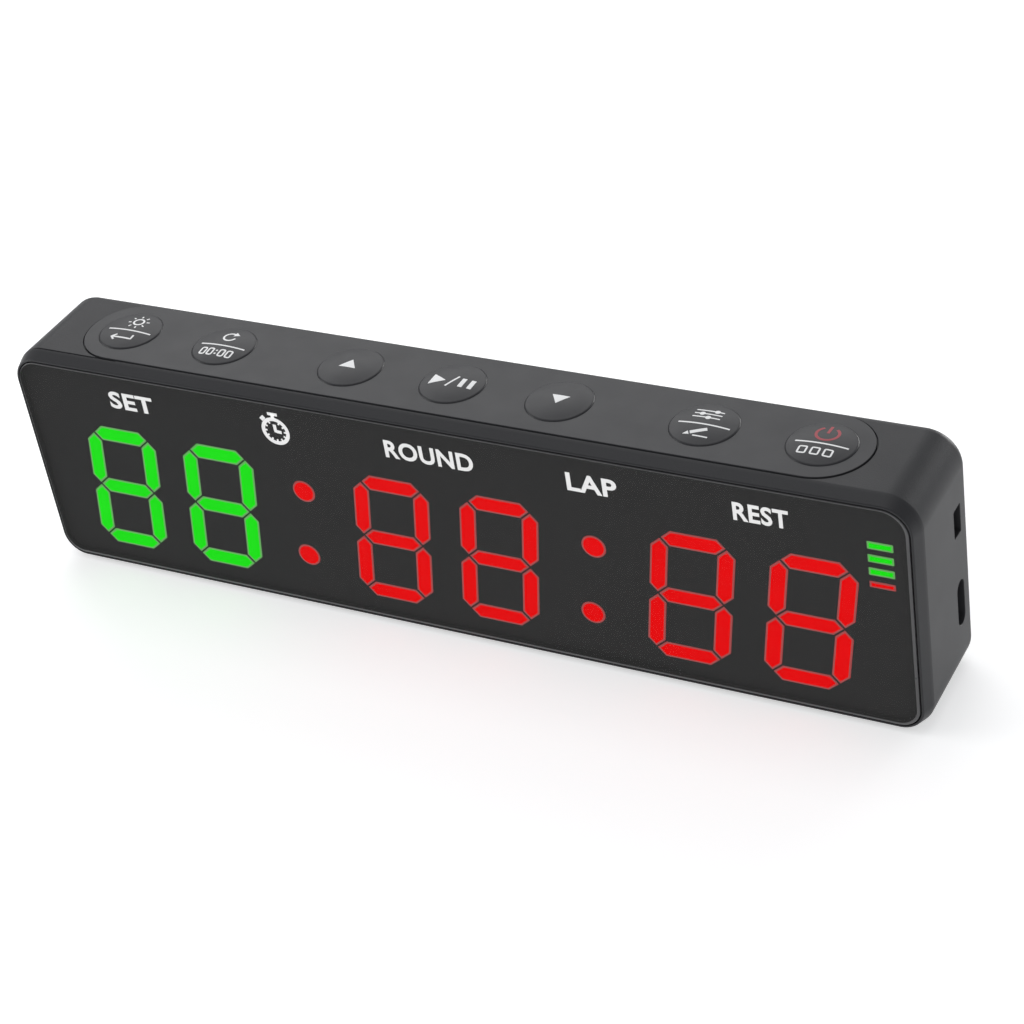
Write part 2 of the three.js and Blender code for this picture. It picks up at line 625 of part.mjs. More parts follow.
// ---------------------------------------------------------------- battery, sounder, magnets
// A flat strip bent along a path in Y and Z and drawn out along X
function bentStrip(path, thickness, x0, x1) {
  const inner = path.map(([y, z], i) => {
    const [py, pz] = path[Math.max(i - 1, 0)];
    const [ny, nz] = path[Math.min(i + 1, path.length - 1)];
    const length = Math.hypot(ny - py, nz - pz);
    return [y - ((nz - pz) / length) * thickness, z + ((ny - py) / length) * thickness];
  });
  const points = [...path, ...inner.reverse()].map(([y, z]) => new THREE.Vector2(y, z));
  const options = { depth: x1 - x0, bevelEnabled: false };
  const shape = new THREE.ExtrudeGeometry(new THREE.Shape(points), options);
  return shape.rotateX(Math.PI / 2).rotateZ(Math.PI / 2).translate(x0, 0, 0);
}

// A foil-wrapped lithium cell with rounded long edges, standing on its lower edge
function batteryCell() {
  const { width, height, frontY, backY, edge } = BATTERY;
  const [x, y] = [width / 2 - edge, (backY - frontY) / 2 - edge];
  const section = new THREE.Shape();
  section.absarc(x, y, edge, 0, Math.PI / 2);
  section.absarc(-x, y, edge, Math.PI / 2, Math.PI);
  section.absarc(-x, -y, edge, Math.PI, 1.5 * Math.PI);
  section.absarc(x, -y, edge, 1.5 * Math.PI, 2 * Math.PI);
  const options = { depth: height, bevelEnabled: false, curveSegments: 4 };
  return geometryOf(solid(new THREE.ExtrudeGeometry(section, options)));
}

// The pair of wires from the cell to its connector, wrapped in one sleeve
function batteryLead() {
  const fromX = BATTERY.x + BATTERY.width / 2 + LEAD.gap;
  const toX = CONNECTOR.x - CONNECTOR.width / 2 - LEAD.gap;
  const route = new THREE.CatmullRomCurve3([
    new THREE.Vector3(fromX, LEAD.fromY, CONNECTOR.z + LEAD.rise),
    new THREE.Vector3(fromX + 3, LEAD.fromY, CONNECTOR.z + LEAD.rise),
    new THREE.Vector3(toX - 3, LEAD.toY, CONNECTOR.z),
    new THREE.Vector3(toX, LEAD.toY, CONNECTOR.z),
  ]);
  const section = new THREE.Shape(
    new THREE.Path().absarc(0, 0, LEAD.radius, 0, 2 * Math.PI).getPoints(4),
  );
  return new THREE.ExtrudeGeometry(section, { steps: 10, bevelEnabled: false, extrudePath: route });
}

function buzzer() {
  const { x, z, radius, backY, mouthRadius, mouthDepth } = BUZZER;
  const can = solid(depthCylinder(radius, x, z, BOARD.backY + SEAT, backY));
  return geometryOf(
    cut(can, [depthCylinder(mouthRadius, x, z, backY - mouthDepth, backY + 1, SMALL_SIDES)]),
  );
}

// The flat cable from the underside of the key board to the back of the display board
function keypadRibbon() {
  const { startY, x0, x1, thickness, bottomZ } = RIBBON;
  const wallY = BOARD.backY + SEAT + thickness;
  const drop = KEY_BOARD.bottomZ - RIBBON_DROP;
  const path = [
    [startY, KEY_BOARD.bottomZ - thickness - SEAT], [startY - 1.6, drop + 0.6],
    [startY - 2.6, drop - 0.7], [startY - 3.1, drop - 2.5], [wallY, drop - 4.3], [wallY, bottomZ],
  ];
  return bentStrip(path, thickness, x0, x1);
}

function addInsides() {
  const { x, z, height, frontY, backY } = BATTERY;
  addMesh("battery_cell", batteryCell(), cellSilver, x, (frontY + backY) / 2, z - height / 2);
  addMesh("battery_lead", batteryLead(), leadRed);
  const plug = CONNECTOR;
  addMesh(
    "battery_connector",
    box(
      plug.x - plug.width / 2, plug.x + plug.width / 2, BOARD.backY + SEAT, plug.backY,
      plug.z - plug.height / 2, plug.z + plug.height / 2,
    ),
    ribbonWhite,
  );
  addMesh("buzzer", buzzer(), chipBlack);
  addMesh("keypad_ribbon", keypadRibbon(), ribbonWhite);
  const m = MAGNET;
  const bar = box(
    -m.width / 2, m.width / 2, m.frontY, m.backY, m.z - m.height / 2, m.z + m.height / 2,
  );
  for (const side of sides)
    addMesh(side < 0 ? "magnet_left" : "magnet_right", bar, steel, side * m.x);
}

// ---------------------------------------------------------------- rear cover and fasteners
function rearCover() {
  const inset = WALL + COVER_GAP;
  const sheet = solid(
    loft([
      [COVER_FRONT_Y, inset],
      [BACK_Y - COVER_CHAMFER, inset],
      [BACK_Y, inset + COVER_CHAMFER],
    ]),
  );
  const frame = (x, grow, y0, y1) =>
    box(
      x - MAGNET.width / 2 - grow, x + MAGNET.width / 2 + grow, y0, y1,
      MAGNET.z - MAGNET.height / 2 - grow, MAGNET.z + MAGNET.height / 2 + grow,
    );
  const { gap, wall, frontY } = MAGNET_RIB;
  const magnetX = sides.map((side) => side * MAGNET.x);
  const ribbed = join(sheet, magnetX.map((x) => frame(x, gap + wall, frontY, COVER_FRONT_Y + JOIN)));
  const vents = [[0, 0], ...Array.from({ length: 6 }, (_, i) => [
    VENT.pitch * Math.cos((i * Math.PI) / 3),
    VENT.pitch * Math.sin((i * Math.PI) / 3),
  ])];
  return cut(ribbed, [
    ...magnetX.map((x) => frame(x, gap, frontY - 1, COVER_FRONT_Y)),
    ...vents.map(([dx, dz]) =>
      depthCylinder(VENT.radius, BUZZER.x + dx, BUZZER.z + dz, frontY, BACK_Y + 1, 8),
    ),
    ...coverBosses.flatMap(({ x, z }) => [
      depthCylinder(COVER_HOLE_RADIUS, x, z, COVER_FRONT_Y - 1, BACK_Y + 1, SMALL_SIDES),
      depthCylinder(COUNTERBORE_RADIUS, x, z, BACK_Y - COUNTERBORE_DEPTH, BACK_Y + 1, 16),
    ]),
  ]);
}

// A pan-head screw with a cross recess, its head up and the underside of the head at zero
function screw(headRadius, headHeight, shankRadius, length) {
  const body = solid(turned([
    [0, -length],
    [shankRadius * 0.5, -length],
    [shankRadius, -length + 1],
    [shankRadius, 0],
    [headRadius, 0],
    [headRadius, headHeight * 0.6],
    [headRadius * 0.7, headHeight],
    [0, headHeight],
  ], SMALL_SIDES));
  const arm = headRadius * 0.6;
  const slot = headRadius * 0.14;
  const z0 = headHeight * 0.35;
  return geometryOf(cut(body, [
    box(-arm, arm, -slot, slot, z0, headHeight + 1),
    box(-slot, slot, -arm, arm, z0, headHeight + 1),
  ]));
}

function addFasteners() {
  const coverScrew = screw(2.4, 1.2, 0.9, 9);
  const corners = ["left_bottom", "left_top", "right_bottom", "right_top"];
  const coverSeatY = BACK_Y - COUNTERBORE_DEPTH + 0.05;
  coverBosses.forEach(({ x, z }, i) => {
    const mesh = addMesh(`cover_screw_${corners[i]}`, coverScrew, steel, x, coverSeatY, z);
    mesh.rotation.x = -Math.PI / 2;
  });
  const boardScrew = screw(2, 1, 0.85, 5);
  BOARD_POSTS.forEach(({ x, z }, i) => {
    const mesh = addMesh(`board_screw_${i + 1}`, boardScrew, steel, x, BOARD.backY + SEAT, z);
    mesh.rotation.x = -Math.PI / 2;
  });
  sides.forEach((side, i) => {
    const { x, y } = KEY_BOARD_POST;
    const seatZ = KEY_BOARD.bottomZ - SEAT;
    const mesh = addMesh(`key_board_screw_${i + 1}`, boardScrew, steel, side * x, y, seatZ);
    mesh.rotation.x = Math.PI;
  });
}

// ---------------------------------------------------------------- assembly
addMesh("housing", geometryOf(housing()), caseBlack);
addDisplay();
addKeypad();
addMesh("key_board", geometryOf(keyBoard()), boardGreen);
addPowerEnd();
addInsides();
addMesh("rear_cover", geometryOf(rearCover()), coverBlack);
addFasteners();

export default timer;
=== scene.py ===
"""Looks of a portable LED round timer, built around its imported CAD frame.

Shapes are drawn in millimetres in the shared frame (display towards -Y, keys on top) and turned
into metres when a piece is made. Places come from the frame's own nodes.
"""
from math import cos, hypot, pi, radians, sin, sqrt, tan

import bmesh
import bpy
from mathutils import Matrix, Vector


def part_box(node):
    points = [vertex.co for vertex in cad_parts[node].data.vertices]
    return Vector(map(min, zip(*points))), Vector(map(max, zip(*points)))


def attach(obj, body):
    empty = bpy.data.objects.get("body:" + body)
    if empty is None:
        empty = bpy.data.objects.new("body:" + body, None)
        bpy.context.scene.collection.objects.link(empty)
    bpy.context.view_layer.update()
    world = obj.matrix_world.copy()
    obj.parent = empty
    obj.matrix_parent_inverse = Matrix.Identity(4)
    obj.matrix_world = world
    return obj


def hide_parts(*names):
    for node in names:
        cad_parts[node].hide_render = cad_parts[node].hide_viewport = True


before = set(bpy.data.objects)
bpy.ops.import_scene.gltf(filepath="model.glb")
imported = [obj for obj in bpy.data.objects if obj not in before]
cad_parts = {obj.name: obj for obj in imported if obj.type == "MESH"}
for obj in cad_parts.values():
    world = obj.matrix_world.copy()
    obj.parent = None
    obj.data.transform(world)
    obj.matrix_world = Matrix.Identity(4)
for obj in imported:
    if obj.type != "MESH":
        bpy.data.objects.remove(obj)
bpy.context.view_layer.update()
MM = 0.001


def span(node):
    """Lowest and highest corner of a CAD node, in millimetres."""
    low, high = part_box(node)
    return low / MM, high / MM


def middle(node):
    low, high = span(node)
    return (low + high) / 2


# ------------------------------------------------------------------ driving dimensions, mm
CASE_LOW, CASE_HIGH = span("housing")
LENS_LOW = span("front_lens")[0]
COVER_LOW, COVER_HIGH = span("rear_cover")
FILM_LOW, FILM_HIGH = span("keypad_overlay")
REFLECTOR_LOW, REFLECTOR_HIGH = span("display_reflector")
STRIP_LOW, STRIP_HIGH = span("legend_strip")
KEYS = ["brightness", "reset", "up", "start", "down", "set", "power"]
CORNER_TOP = 7.0
CORNER_BOTTOM = 6.0
WALL = 2.6
POCKET_INSET = 1.4
LEDGE_INSET = 3.6
LEDGE_FRONT = -11.5
LEDGE_BACK = -10.2
BAND_DEPTH = 3.3  # the sloping band between the flat sides and the lens pocket
BAND_CURVE = 0.9  # depth over which it turns from the sides into its slope
BAND_ANGLES = (8.0, 19.0)
RIM_RADIUS = 0.35  # where the band rolls over to the lip of the pocket
RIM_LIP = 0.15
REAR_RADIUS = 2.5
FILM_RISE = 0.22  # how far the keypad film stands above the case
KEY_EDGE_RISE = 0.25  # height of a key's rim above the film
KEY_RADIUS = 6.824
KEY_HOLE = 6.83  # in the film
KEY_WELL = 7.05  # in the case under the film
KEY_ROUND = 0.45
MASK_FACE = -11.8  # the mask and the printed border share one plane behind the lens
LIGHT_FACE = MASK_FACE - 0.02
LEGEND_FACE = MASK_FACE - 0.03
LENS_BACK = -11.9
LENS_INSET = LENS_LOW.x - CASE_LOW.x
BEVEL = 0.36  # width of the lens's border, drawn lighter than the lens as a painted highlight
COLLAR = 0.03  # a sleeve in the mask's finish between the window and its border, whose painted glow covers the shade on the border's inner wall
FIT = 0.003
SLANT = 0.14
SEGMENT = {"half_width": 6.9, "half_height": 13.75, "width": 3.66, "gap": 0.3}
LIGHT_RIM = 0.4  # width of the duller border round a lit shape
DOT_RADIUS = 2.6
DOT_REACH = 8.3
GAUGE = {"half_width": 2.5, "pitch": 2.95, "trim": 0.08}
INK_RISE = 0.018
INK_SINK = 0.03


# ------------------------------------------------------------------ meshes
def front(u, v, w):
    """Drawn as seen from the front: u to the right, v up, w into the case."""
    return (u, w, v)


def top(u, v, w):
    return (u, v, w)


def side(u, v, w):
    """Drawn in depth and height, w to the right."""
    return (w, u, v)


def arc(cu, cv, radius, start, end, steps):
    """Points on an arc, angles in degrees."""
    turn = [radians(start + (end - start) * i / steps) for i in range(steps + 1)]
    return [(cu + radius * cos(a), cv + radius * sin(a)) for a in turn]


def circle(cu, cv, radius, sides=64):
    return arc(cu, cv, radius, 0, 360, sides)[:-1]


def rounded(u0, u1, v0, v1, low, high, steps=12):
    """A rectangle with corner radii low (at v0) and high (at v1)."""
    return (
        arc(u1 - high, v1 - high, high, 0, 90, steps)
        + arc(u0 + high, v1 - high, high, 90, 180, steps)
        + arc(u0 + low, v0 + low, low, 180, 270, steps)
        + arc(u1 - low, v0 + low, low, 270, 360, steps)
    )


def case_outline(inset, steps=20):
    return rounded(
        CASE_LOW.x + inset, CASE_HIGH.x - inset, CASE_LOW.z + inset, CASE_HIGH.z - inset,
        max(CORNER_BOTTOM - inset, 0.4), max(CORNER_TOP - inset, 0.4), steps,
    )


def grown(points, distance):
    """A simple outline moved outwards by distance, with mitred corners."""
    count = len(points)
    area = sum(
        points[i][0] * points[(i + 1) % count][1] - points[(i + 1) % count][0] * points[i][1]
        for i in range(count)
    )
    turn = 1 if area > 0 else -1
    moved = []
    for i in range(count):
        before, here, after = points[i - 1], points[i], points[(i + 1) % count]
        a = Vector((here[0] - before[0], here[1] - before[1])).normalized()
        b = Vector((after[0] - here[0], after[1] - here[1])).normalized()
        na, nb = Vector((a.y, -a.x)) * turn, Vector((b.y, -b.x)) * turn
        out = (na + nb) / max(1 + na.dot(nb), 0.3)
        moved.append((here[0] + out.x * distance, here[1] + out.y * distance))
    return moved


def loft(rings, closed=False):
    """A skin through rings of equal length: capped at both ends, or closed on itself."""
    count = len(rings[0])
    verts = [p for ring in rings for p in ring]
    faces = []
    for r in range(len(rings) - (0 if closed else 1)):
        a, b = r * count, ((r + 1) % len(rings)) * count
        for i in range(count):
            j = (i + 1) % count
            faces.append((a + i, a + j, b + j, b + i))
    if not closed:
        faces.append(tuple(range(count)))
        faces.append(tuple(range(len(verts) - count, len(verts))))
    return verts, faces


def prism(outline, levels, plane):
    """An outline drawn through levels [(w, growth), ...] of a plane."""
    rings = [
        [plane(u, v, w) for u, v in (grown(outline, growth) if growth else outline)]
        for w, growth in levels
    ]
    return loft(rings)


def slab(outline, low, high, plane, edge=0.0):
    """A plate with its high side's edge broken by a small chamfer."""
    levels = [(low, 0), (high - edge, 0), (high, -edge)] if edge else [(low, 0), (high, 0)]
    return prism(outline, levels, plane)


def turned(profile, centre, sides=96, axis="Z"):
    """A turned solid from [(radius, height), ...]. Its ends are on the axis or are capped."""
    verts, faces, rings = [], [], []
    for radius, height in profile:
        points = [(0.0, 0.0)] if radius < 1e-6 else circle(0, 0, radius, sides)
        rings.append(range(len(verts), len(verts) + len(points)))
        for u, v in points:
            local = (u, v, height) if axis == "Z" else (u, height, v)
            verts.append(tuple(c + p for c, p in zip(centre, local)))
    for a, b in zip(rings, rings[1:]):
        for i in range(sides):
            j = (i + 1) % sides
            if len(a) == 1:
                faces.append((a[0], b[i], b[j]))
            elif len(b) == 1:
                faces.append((a[i], a[j], b[0]))
            else:
                faces.append((a[i], a[j], b[j], b[i]))
    for end in (rings[0], rings[-1]):
        if len(end) > 1:
            faces.append(tuple(end))
    return verts, faces


def mesh_of(name, parts):
    """One mesh from [(verts, faces), ...] in millimetres, every face pointing out."""
    bm = bmesh.new()
    for verts, faces in parts:
        made = [bm.verts.new(Vector(v) * MM) for v in verts]
        for face in faces:
            bm.faces.new([made[i] for i in face])
    bmesh.ops.recalc_face_normals(bm, faces=bm.faces)
    mesh = bpy.data.meshes.new(name)
    bm.to_mesh(mesh)
    bm.free()
    return mesh


def piece(name, parts, material, smooth=35):
    obj = bpy.data.objects.new(name, mesh_of(name, parts))
    bpy.context.scene.collection.objects.link(obj)
    obj.data.materials.append(material)
    shade(obj, smooth)
    return obj


def shade(obj, angle):
    obj.data.shade_smooth()
    obj.data.set_sharp_from_angle(angle=radians(angle))


def settled(obj, smooth=35):
    """Applies an object's modifiers to its mesh."""
    bpy.context.view_layer.update()
    evaluated = obj.evaluated_get(bpy.context.evaluated_depsgraph_get())
    mesh = bpy.data.meshes.new_from_object(evaluated)
    obj.modifiers.clear()
    obj.data = mesh
    shade(obj, smooth)
    return obj


def cut(obj, parts, smooth=35):
    """Takes closed parts, which may not touch each other, out of obj."""
    cutter = bpy.data.objects.new("cutter", mesh_of("cutter", parts))
    bpy.context.scene.collection.objects.link(cutter)
    modifier = obj.modifiers.new("cut", "BOOLEAN")
    modifier.operation = "DIFFERENCE"
    modifier.solver = "EXACT"
    modifier.object = cutter
    settled(obj, smooth)
    if not obj.data.polygons:
        raise RuntimeError(f"nothing is left of {obj.name}")
    bpy.data.objects.remove(cutter)
    return obj


def level_normals(obj):
    """Keeps flat faces flat in the shading next to rounded edges."""
    modifier = obj.modifiers.new("normals", "WEIGHTED_NORMAL")
    modifier.keep_sharp = True
    modifier.weight = 100
    return obj


def stands_for(obj, body, slot, *nodes):
    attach(obj, body)
    if nodes:
        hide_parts(*nodes)
    return obj


# ------------------------------------------------------------------ materials
def add(tree, kind, **inputs):
    node = tree.nodes.new(kind)
    for name, value in inputs.items():
        node.inputs[name.replace("_", " ")].default_value = value
    return node


def noise(tree, scale, detail=2.0, rough=0.5):
    place = tree.nodes.new("ShaderNodeTexCoord")
    made = add(tree, "ShaderNodeTexNoise", Scale=scale, Detail=detail, Roughness=rough)
    tree.links.new(place.outputs["Object"], made.inputs["Vector"])
    return made


def ramp(tree, source, stops):
    made = tree.nodes.new("ShaderNodeValToRGB")
    elements = made.color_ramp.elements
    while len(elements) < len(stops):
        elements.new(0.5)
    for element, (position, colour) in zip(elements, stops):
        element.position = position
        element.color = (*colour, 1)
    tree.links.new(source, made.inputs["Fac"])
    return made


def scaled(colour, factor):
    return tuple(min(c * factor, 1.0) for c in colour)


def finish(name, colour, rough, metal=0.0, vary=0.12, patch=60.0, grain=2500.0, bump=0.05,
           rough_vary=0.06, spec=0.5):
    """A moulded, plated or printed surface: slow colour drift, uneven gloss and a fine grain."""
    material = bpy.data.materials.new(name)
    material.use_nodes = True
    tree = material.node_tree
    shader = tree.nodes["Principled BSDF"]
    shader.inputs["Metallic"].default_value = metal
    shader.inputs["Specular IOR Level"].default_value = spec
    drift = noise(tree, patch, 4.0, 0.6)
    tint = ramp(tree, drift.outputs["Fac"], [
        (0.3, scaled(colour, 1 - vary)), (0.7, scaled(colour, 1 + vary)),
    ])
    tree.links.new(tint.outputs["Color"], shader.inputs["Base Color"])
    gloss = add(tree, "ShaderNodeMapRange", To_Min=rough - rough_vary, To_Max=rough + rough_vary)
    wipe = noise(tree, patch * 3, 3.0)
    tree.links.new(wipe.outputs["Fac"], gloss.inputs["Value"])
    tree.links.new(gloss.outputs["Result"], shader.inputs["Roughness"])
    if bump:
        fine = noise(tree, grain)
        relief = add(tree, "ShaderNodeBump", Strength=bump, Distance=0.0002)
        tree.links.new(fine.outputs["Fac"], relief.inputs["Height"])
        tree.links.new(relief.outputs["Normal"], shader.inputs["Normal"])
    return material


def glow(name, colour, strength):
    """A diffuser lit from behind, a little uneven from one LED to the next; the white legends use
    it too, as a painted glow on print.
    """
    vary = 0.05
    material = finish(name, scaled(colour, 0.5), 0.4, vary=vary, bump=0, spec=0.1)
    tree = material.node_tree
    shader = tree.nodes["Principled BSDF"]
    drift = noise(tree, 180.0, 2.0)
    tint = ramp(tree, drift.outputs["Fac"], [
        (0.3, scaled(colour, 1 - vary)), (0.7, colour),
    ])
    tree.links.new(tint.outputs["Color"], shader.inputs["Emission Color"])
    shader.inputs["Emission Strength"].default_value = strength
    return material


MASK_PAINTED_GLOW = 0.034  # painted light: a weak glow on the mask, standing in for light that the lens and the LEDs spread behind the window, that lifts the shade near the lens's edges


def lit(material, strength):
    """A surface with a weak white glow of its own: painted light on a part that is no lamp."""
    shader = material.node_tree.nodes["Principled BSDF"]
    shader.inputs["Emission Color"].default_value = (1, 1, 1, 1)
    shader.inputs["Emission Strength"].default_value = strength
    return material


def smoked(name, colour, alpha, rough, spec):
    material = finish(name, colour, rough, vary=0.05, bump=0, rough_vary=0.02, spec=spec)
    material.node_tree.nodes["Principled BSDF"].inputs["Alpha"].default_value = alpha
    material.surface_render_method = "BLENDED"
    return material


case_plastic = finish("case_plastic", (0.029, 0.029, 0.0315), 0.46, vary=0.05, patch=35, grain=4200,
                      bump=0.16, rough_vary=0.04, spec=0.25)
cover_plastic = finish("cover_plastic", (0.032, 0.032, 0.035), 0.5, vary=0.05, patch=40,
                       grain=3600, bump=0.25, spec=0.25)
film = finish("film", (0.038, 0.038, 0.041), 0.42, vary=0.04, patch=50, grain=1500, bump=0.03,
              spec=0.25)
key_film = finish("key_film", (0.035, 0.035, 0.038), 0.4, vary=0.04, patch=120, grain=1500,
                  bump=0.03, spec=0.25)
lens_glass = smoked("lens_glass", (0.01, 0.01, 0.01), 0.25, 0.3, 0.0)
# The lens's border is lighter than the lens: a painted highlight along its edge.
bevel_painted_highlight = finish("bevel_painted_highlight", (0.075, 0.075, 0.077), 0.3, vary=0.15, patch=90, bump=0.02)
# The mask's finish glows weakly: painted light that lifts the shade near the lens's edges.
mask = lit(finish("mask", (0.04, 0.04, 0.04), 0.9, vary=0.03, bump=0, spec=0.1), MASK_PAINTED_GLOW)
green_light = glow("green_light", (0.012, 1.0, 0.008), 1.1)
red_light = glow("red_light", (1.0, 0.001, 0.002), 1.15)
# The white legends glow: painted light that keeps print behind the smoked window as bright as white
# print.
legend_painted_glow = glow("legend_painted_glow", (1.0, 1.0, 1.0), 1.25)
green_rim = glow("green_rim", (0.2, 0.56, 0.17), 1.0)
red_rim = glow("red_rim", (0.5, 0.11, 0.11), 1.0)
LIGHTS = {"green": green_light, "red": red_light}
RIM_LIGHTS = {"green": green_rim, "red": red_rim}
ink = finish("ink", (0.93, 0.93, 0.93), 0.5, vary=0.02, bump=0.02)
red_ink = finish("red_ink", (0.36, 0.03, 0.045), 0.5, vary=0.05, bump=0.02)
board = finish("board", (0.012, 0.075, 0.03), 0.4, vary=0.25, patch=400, grain=900, bump=0.2)
epoxy = finish("epoxy", (0.016, 0.016, 0.018), 0.45, vary=0.15, grain=3000, bump=0.2)
black_nylon = finish("black_nylon", (0.01, 0.01, 0.011), 0.5, vary=0.15, grain=3000, bump=0.15)
plated = finish("plated", (0.42, 0.43, 0.45), 0.3, metal=1, vary=0.1, patch=300)
dark_plated = finish("dark_plated", (0.05, 0.05, 0.052), 0.38, metal=1, vary=0.1, patch=300)
screw_steel = finish("screw_steel", (0.32, 0.32, 0.33), 0.32, metal=1, vary=0.12, patch=500,
                     grain=2000, bump=0.08)
pouch = finish("pouch", (0.42, 0.44, 0.47), 0.4, metal=0.7, vary=0.1, patch=200, grain=500,
               bump=0.3)
sleeve = finish("sleeve", (0.4, 0.012, 0.012), 0.5, vary=0.1)
white_nylon = finish("white_nylon", (0.68, 0.67, 0.63), 0.5, vary=0.06)
gold = finish("gold", (0.7, 0.48, 0.16), 0.25, metal=1, vary=0.08, patch=400)


# ------------------------------------------------------------------ case
def band_profile(steps=6):
    """The band round the lens as (y, inset), from the flat sides to the lens pocket."""
    start, end = (radians(a) for a in BAND_ANGLES)
    radius = BAND_CURVE / (sin(end) - sin(start))
    points = []
    for i in range(steps + 1):
        angle = start + (end - start) * i / steps
        points.append((
            LENS_LOW.y + BAND_DEPTH - radius * (sin(angle) - sin(start)),
            radius * (cos(start) - cos(angle)),
        ))
    y, inset = points[-1]
    reach = POCKET_INSET - RIM_LIP - RIM_RADIUS * cos(end) - inset
    rim_y, rim_inset = y - reach / tan(end), inset + reach
    points.append((rim_y, rim_inset))
    centre = (rim_y + RIM_RADIUS * sin(end), rim_inset + RIM_RADIUS * cos(end))
    for i in range(1, steps + 1):
        angle = end + (pi / 2 - end) * i / steps
        points.append((centre[0] - RIM_RADIUS * sin(angle), centre[1] - RIM_RADIUS * cos(angle)))
    points.append((points[-1][0] + 0.05, POCKET_INSET))
    return points


def rear_profile(steps=8):
    points = []
    for i in range(steps + 1):
        angle = pi / 2 * i / steps
        points.append((
            CASE_HIGH.y - REAR_RADIUS * (1 - sin(angle)), REAR_RADIUS * (1 - cos(angle)),
        ))
    return points


def make_case():
    profile = (
        band_profile()[::-1]
        + rear_profile()
        + [(CASE_HIGH.y - 0.12, WALL), (LEDGE_BACK, WALL), (LEDGE_BACK, LEDGE_INSET)]
        + [(LEDGE_FRONT, LEDGE_INSET), (LEDGE_FRONT, POCKET_INSET)]
    )
    rings = [[front(x, z, y) for x, z in case_outline(inset)] for y, inset in profile]
    case = piece("case_shell", [loft(rings, closed=True)], case_plastic)

    ceiling = CASE_HIGH.z - WALL
    edge = 0.1
    recess = [(FILM_LOW.z - 0.05, 0), (CASE_HIGH.z - edge, 0), (CASE_HIGH.z + edge, 2 * edge),
              (CASE_HIGH.z + 2, 2 * edge)]
    cut(case, [prism(film_outline(0.2), recess, top)])
    holes = []
    for key in KEYS:
        centre = middle("key_cap_" + key)
        well = circle(centre.x, centre.y, KEY_WELL)
        holes.append(slab(well, ceiling - 1, CASE_HIGH.z + 1, top))
    cut(case, holes)
    cut(case, [crease_groove(), side_opening(port_outline()), side_opening(switch_outline())])
    level_normals(case)
    return stands_for(case, "case", "case_black", "housing")


def crease_groove():
    """A hairline along the front of the top, from the left corner to the keypad film."""
    y, half, depth = FILM_LOW.y - 0.27, 0.22, 0.5
    above = CASE_HIGH.z + 0.05
    section = [(y - half, above), (y, CASE_HIGH.z - depth), (y + half, above)]
    ends = (CASE_LOW.x + 3.6, FILM_LOW.x + 13)
    return loft([[side(u, v, x) for u, v in section] for x in ends])


def side_opening(outline):
    """A hole through the right end, its edge broken."""
    edge = 0.1
    face = CASE_HIGH.x
    levels = [(face - WALL - 1, 0), (face - edge, 0), (face + edge, 2 * edge), (face + 1, 2 * edge)]
    return prism(outline, levels, side)


def stadium(cu, cv, half_u, half_v, steps=16):
    """A slot with round ends along its longer side."""
    radius = min(half_u, half_v)
    if half_v > half_u:
        reach = half_v - radius
        ends = (cu, cv + reach, 0), (cu, cv - reach, 180)
    else:
        reach = half_u - radius
        ends = (cu + reach, cv, -90), (cu - reach, cv, 90)
    return [p for u, v, start in ends for p in arc(u, v, radius, start, start + 180, steps)]


def port_outline():
    centre = middle("usb_shell")
    return stadium(centre.y, centre.z, 1.8, 5.1)


def switch_outline():
    y, z = middle("slide_switch_knob").y, middle("slide_switch_body").z
    return rounded(y - 1.7, y + 1.7, z - 3.1, z + 3.1, 0.25, 0.25, 4)


# ------------------------------------------------------------------ keypad
def film_outline(growth=0.0):
    centre = (FILM_LOW + FILM_HIGH) / 2
    half = (FILM_HIGH - FILM_LOW) / 2
    return stadium(centre.x, centre.y, half.x + growth, half.y + growth, 40)


def make_film():
    height = CASE_HIGH.z + FILM_RISE
    levels = [(FILM_LOW.z, 0), (height - 0.12, 0), (height - 0.035, -0.035), (height, -0.12)]
    sheet = piece("keypad_film", [prism(film_outline(), levels, top)], film)
    holes = []
    for key in KEYS:
        centre = middle("key_cap_" + key)
        hole = circle(centre.x, centre.y, KEY_HOLE, 96)
        holes.append(slab(hole, FILM_LOW.z - 1, height + 1, top))
    cut(sheet, holes)
    level_normals(sheet)
    return stands_for(sheet, "case", "overlay_grey", "keypad_overlay")


def dome_height(distance):
    """Height of a key's top at a distance from its centre."""
    rim = CASE_HIGH.z + FILM_RISE + KEY_EDGE_RISE
    crown = span("key_cap_start")[1].z
    reach = KEY_RADIUS - KEY_ROUND
    sag = crown - rim
    sphere = (reach**2 + sag**2) / (2 * sag)
    return crown - sphere + sqrt(sphere**2 - min(distance, reach) ** 2)


def make_key(key):
    low, high = span("key_cap_" + key)
    centre = (low + high) / 2
    reach = KEY_RADIUS - KEY_ROUND
    rim = dome_height(reach)
    flange = (high.x - low.x) / 2
    stem, flange_low, flange_high = 1.6, low.z + 1.8, low.z + 2.5
    profile = [
        (0, low.z), (stem, low.z), (stem, flange_low), (flange, flange_low),
        (flange, flange_high), (KEY_RADIUS, flange_high), (KEY_RADIUS, rim - KEY_ROUND),
    ]
    profile += [
        (reach + KEY_ROUND * cos(a), rim - KEY_ROUND + KEY_ROUND * sin(a))
        for a in (radians(15 * i) for i in range(1, 6))
    ]
    profile += [(r, dome_height(r)) for r in (reach * (1 - i / 12) for i in range(13))]
    cap = piece("key_" + key, [turned(profile, (centre.x, centre.y, 0))], key_film)
    return stands_for(cap, "key_" + key, "key_grey", "key_cap_" + key)


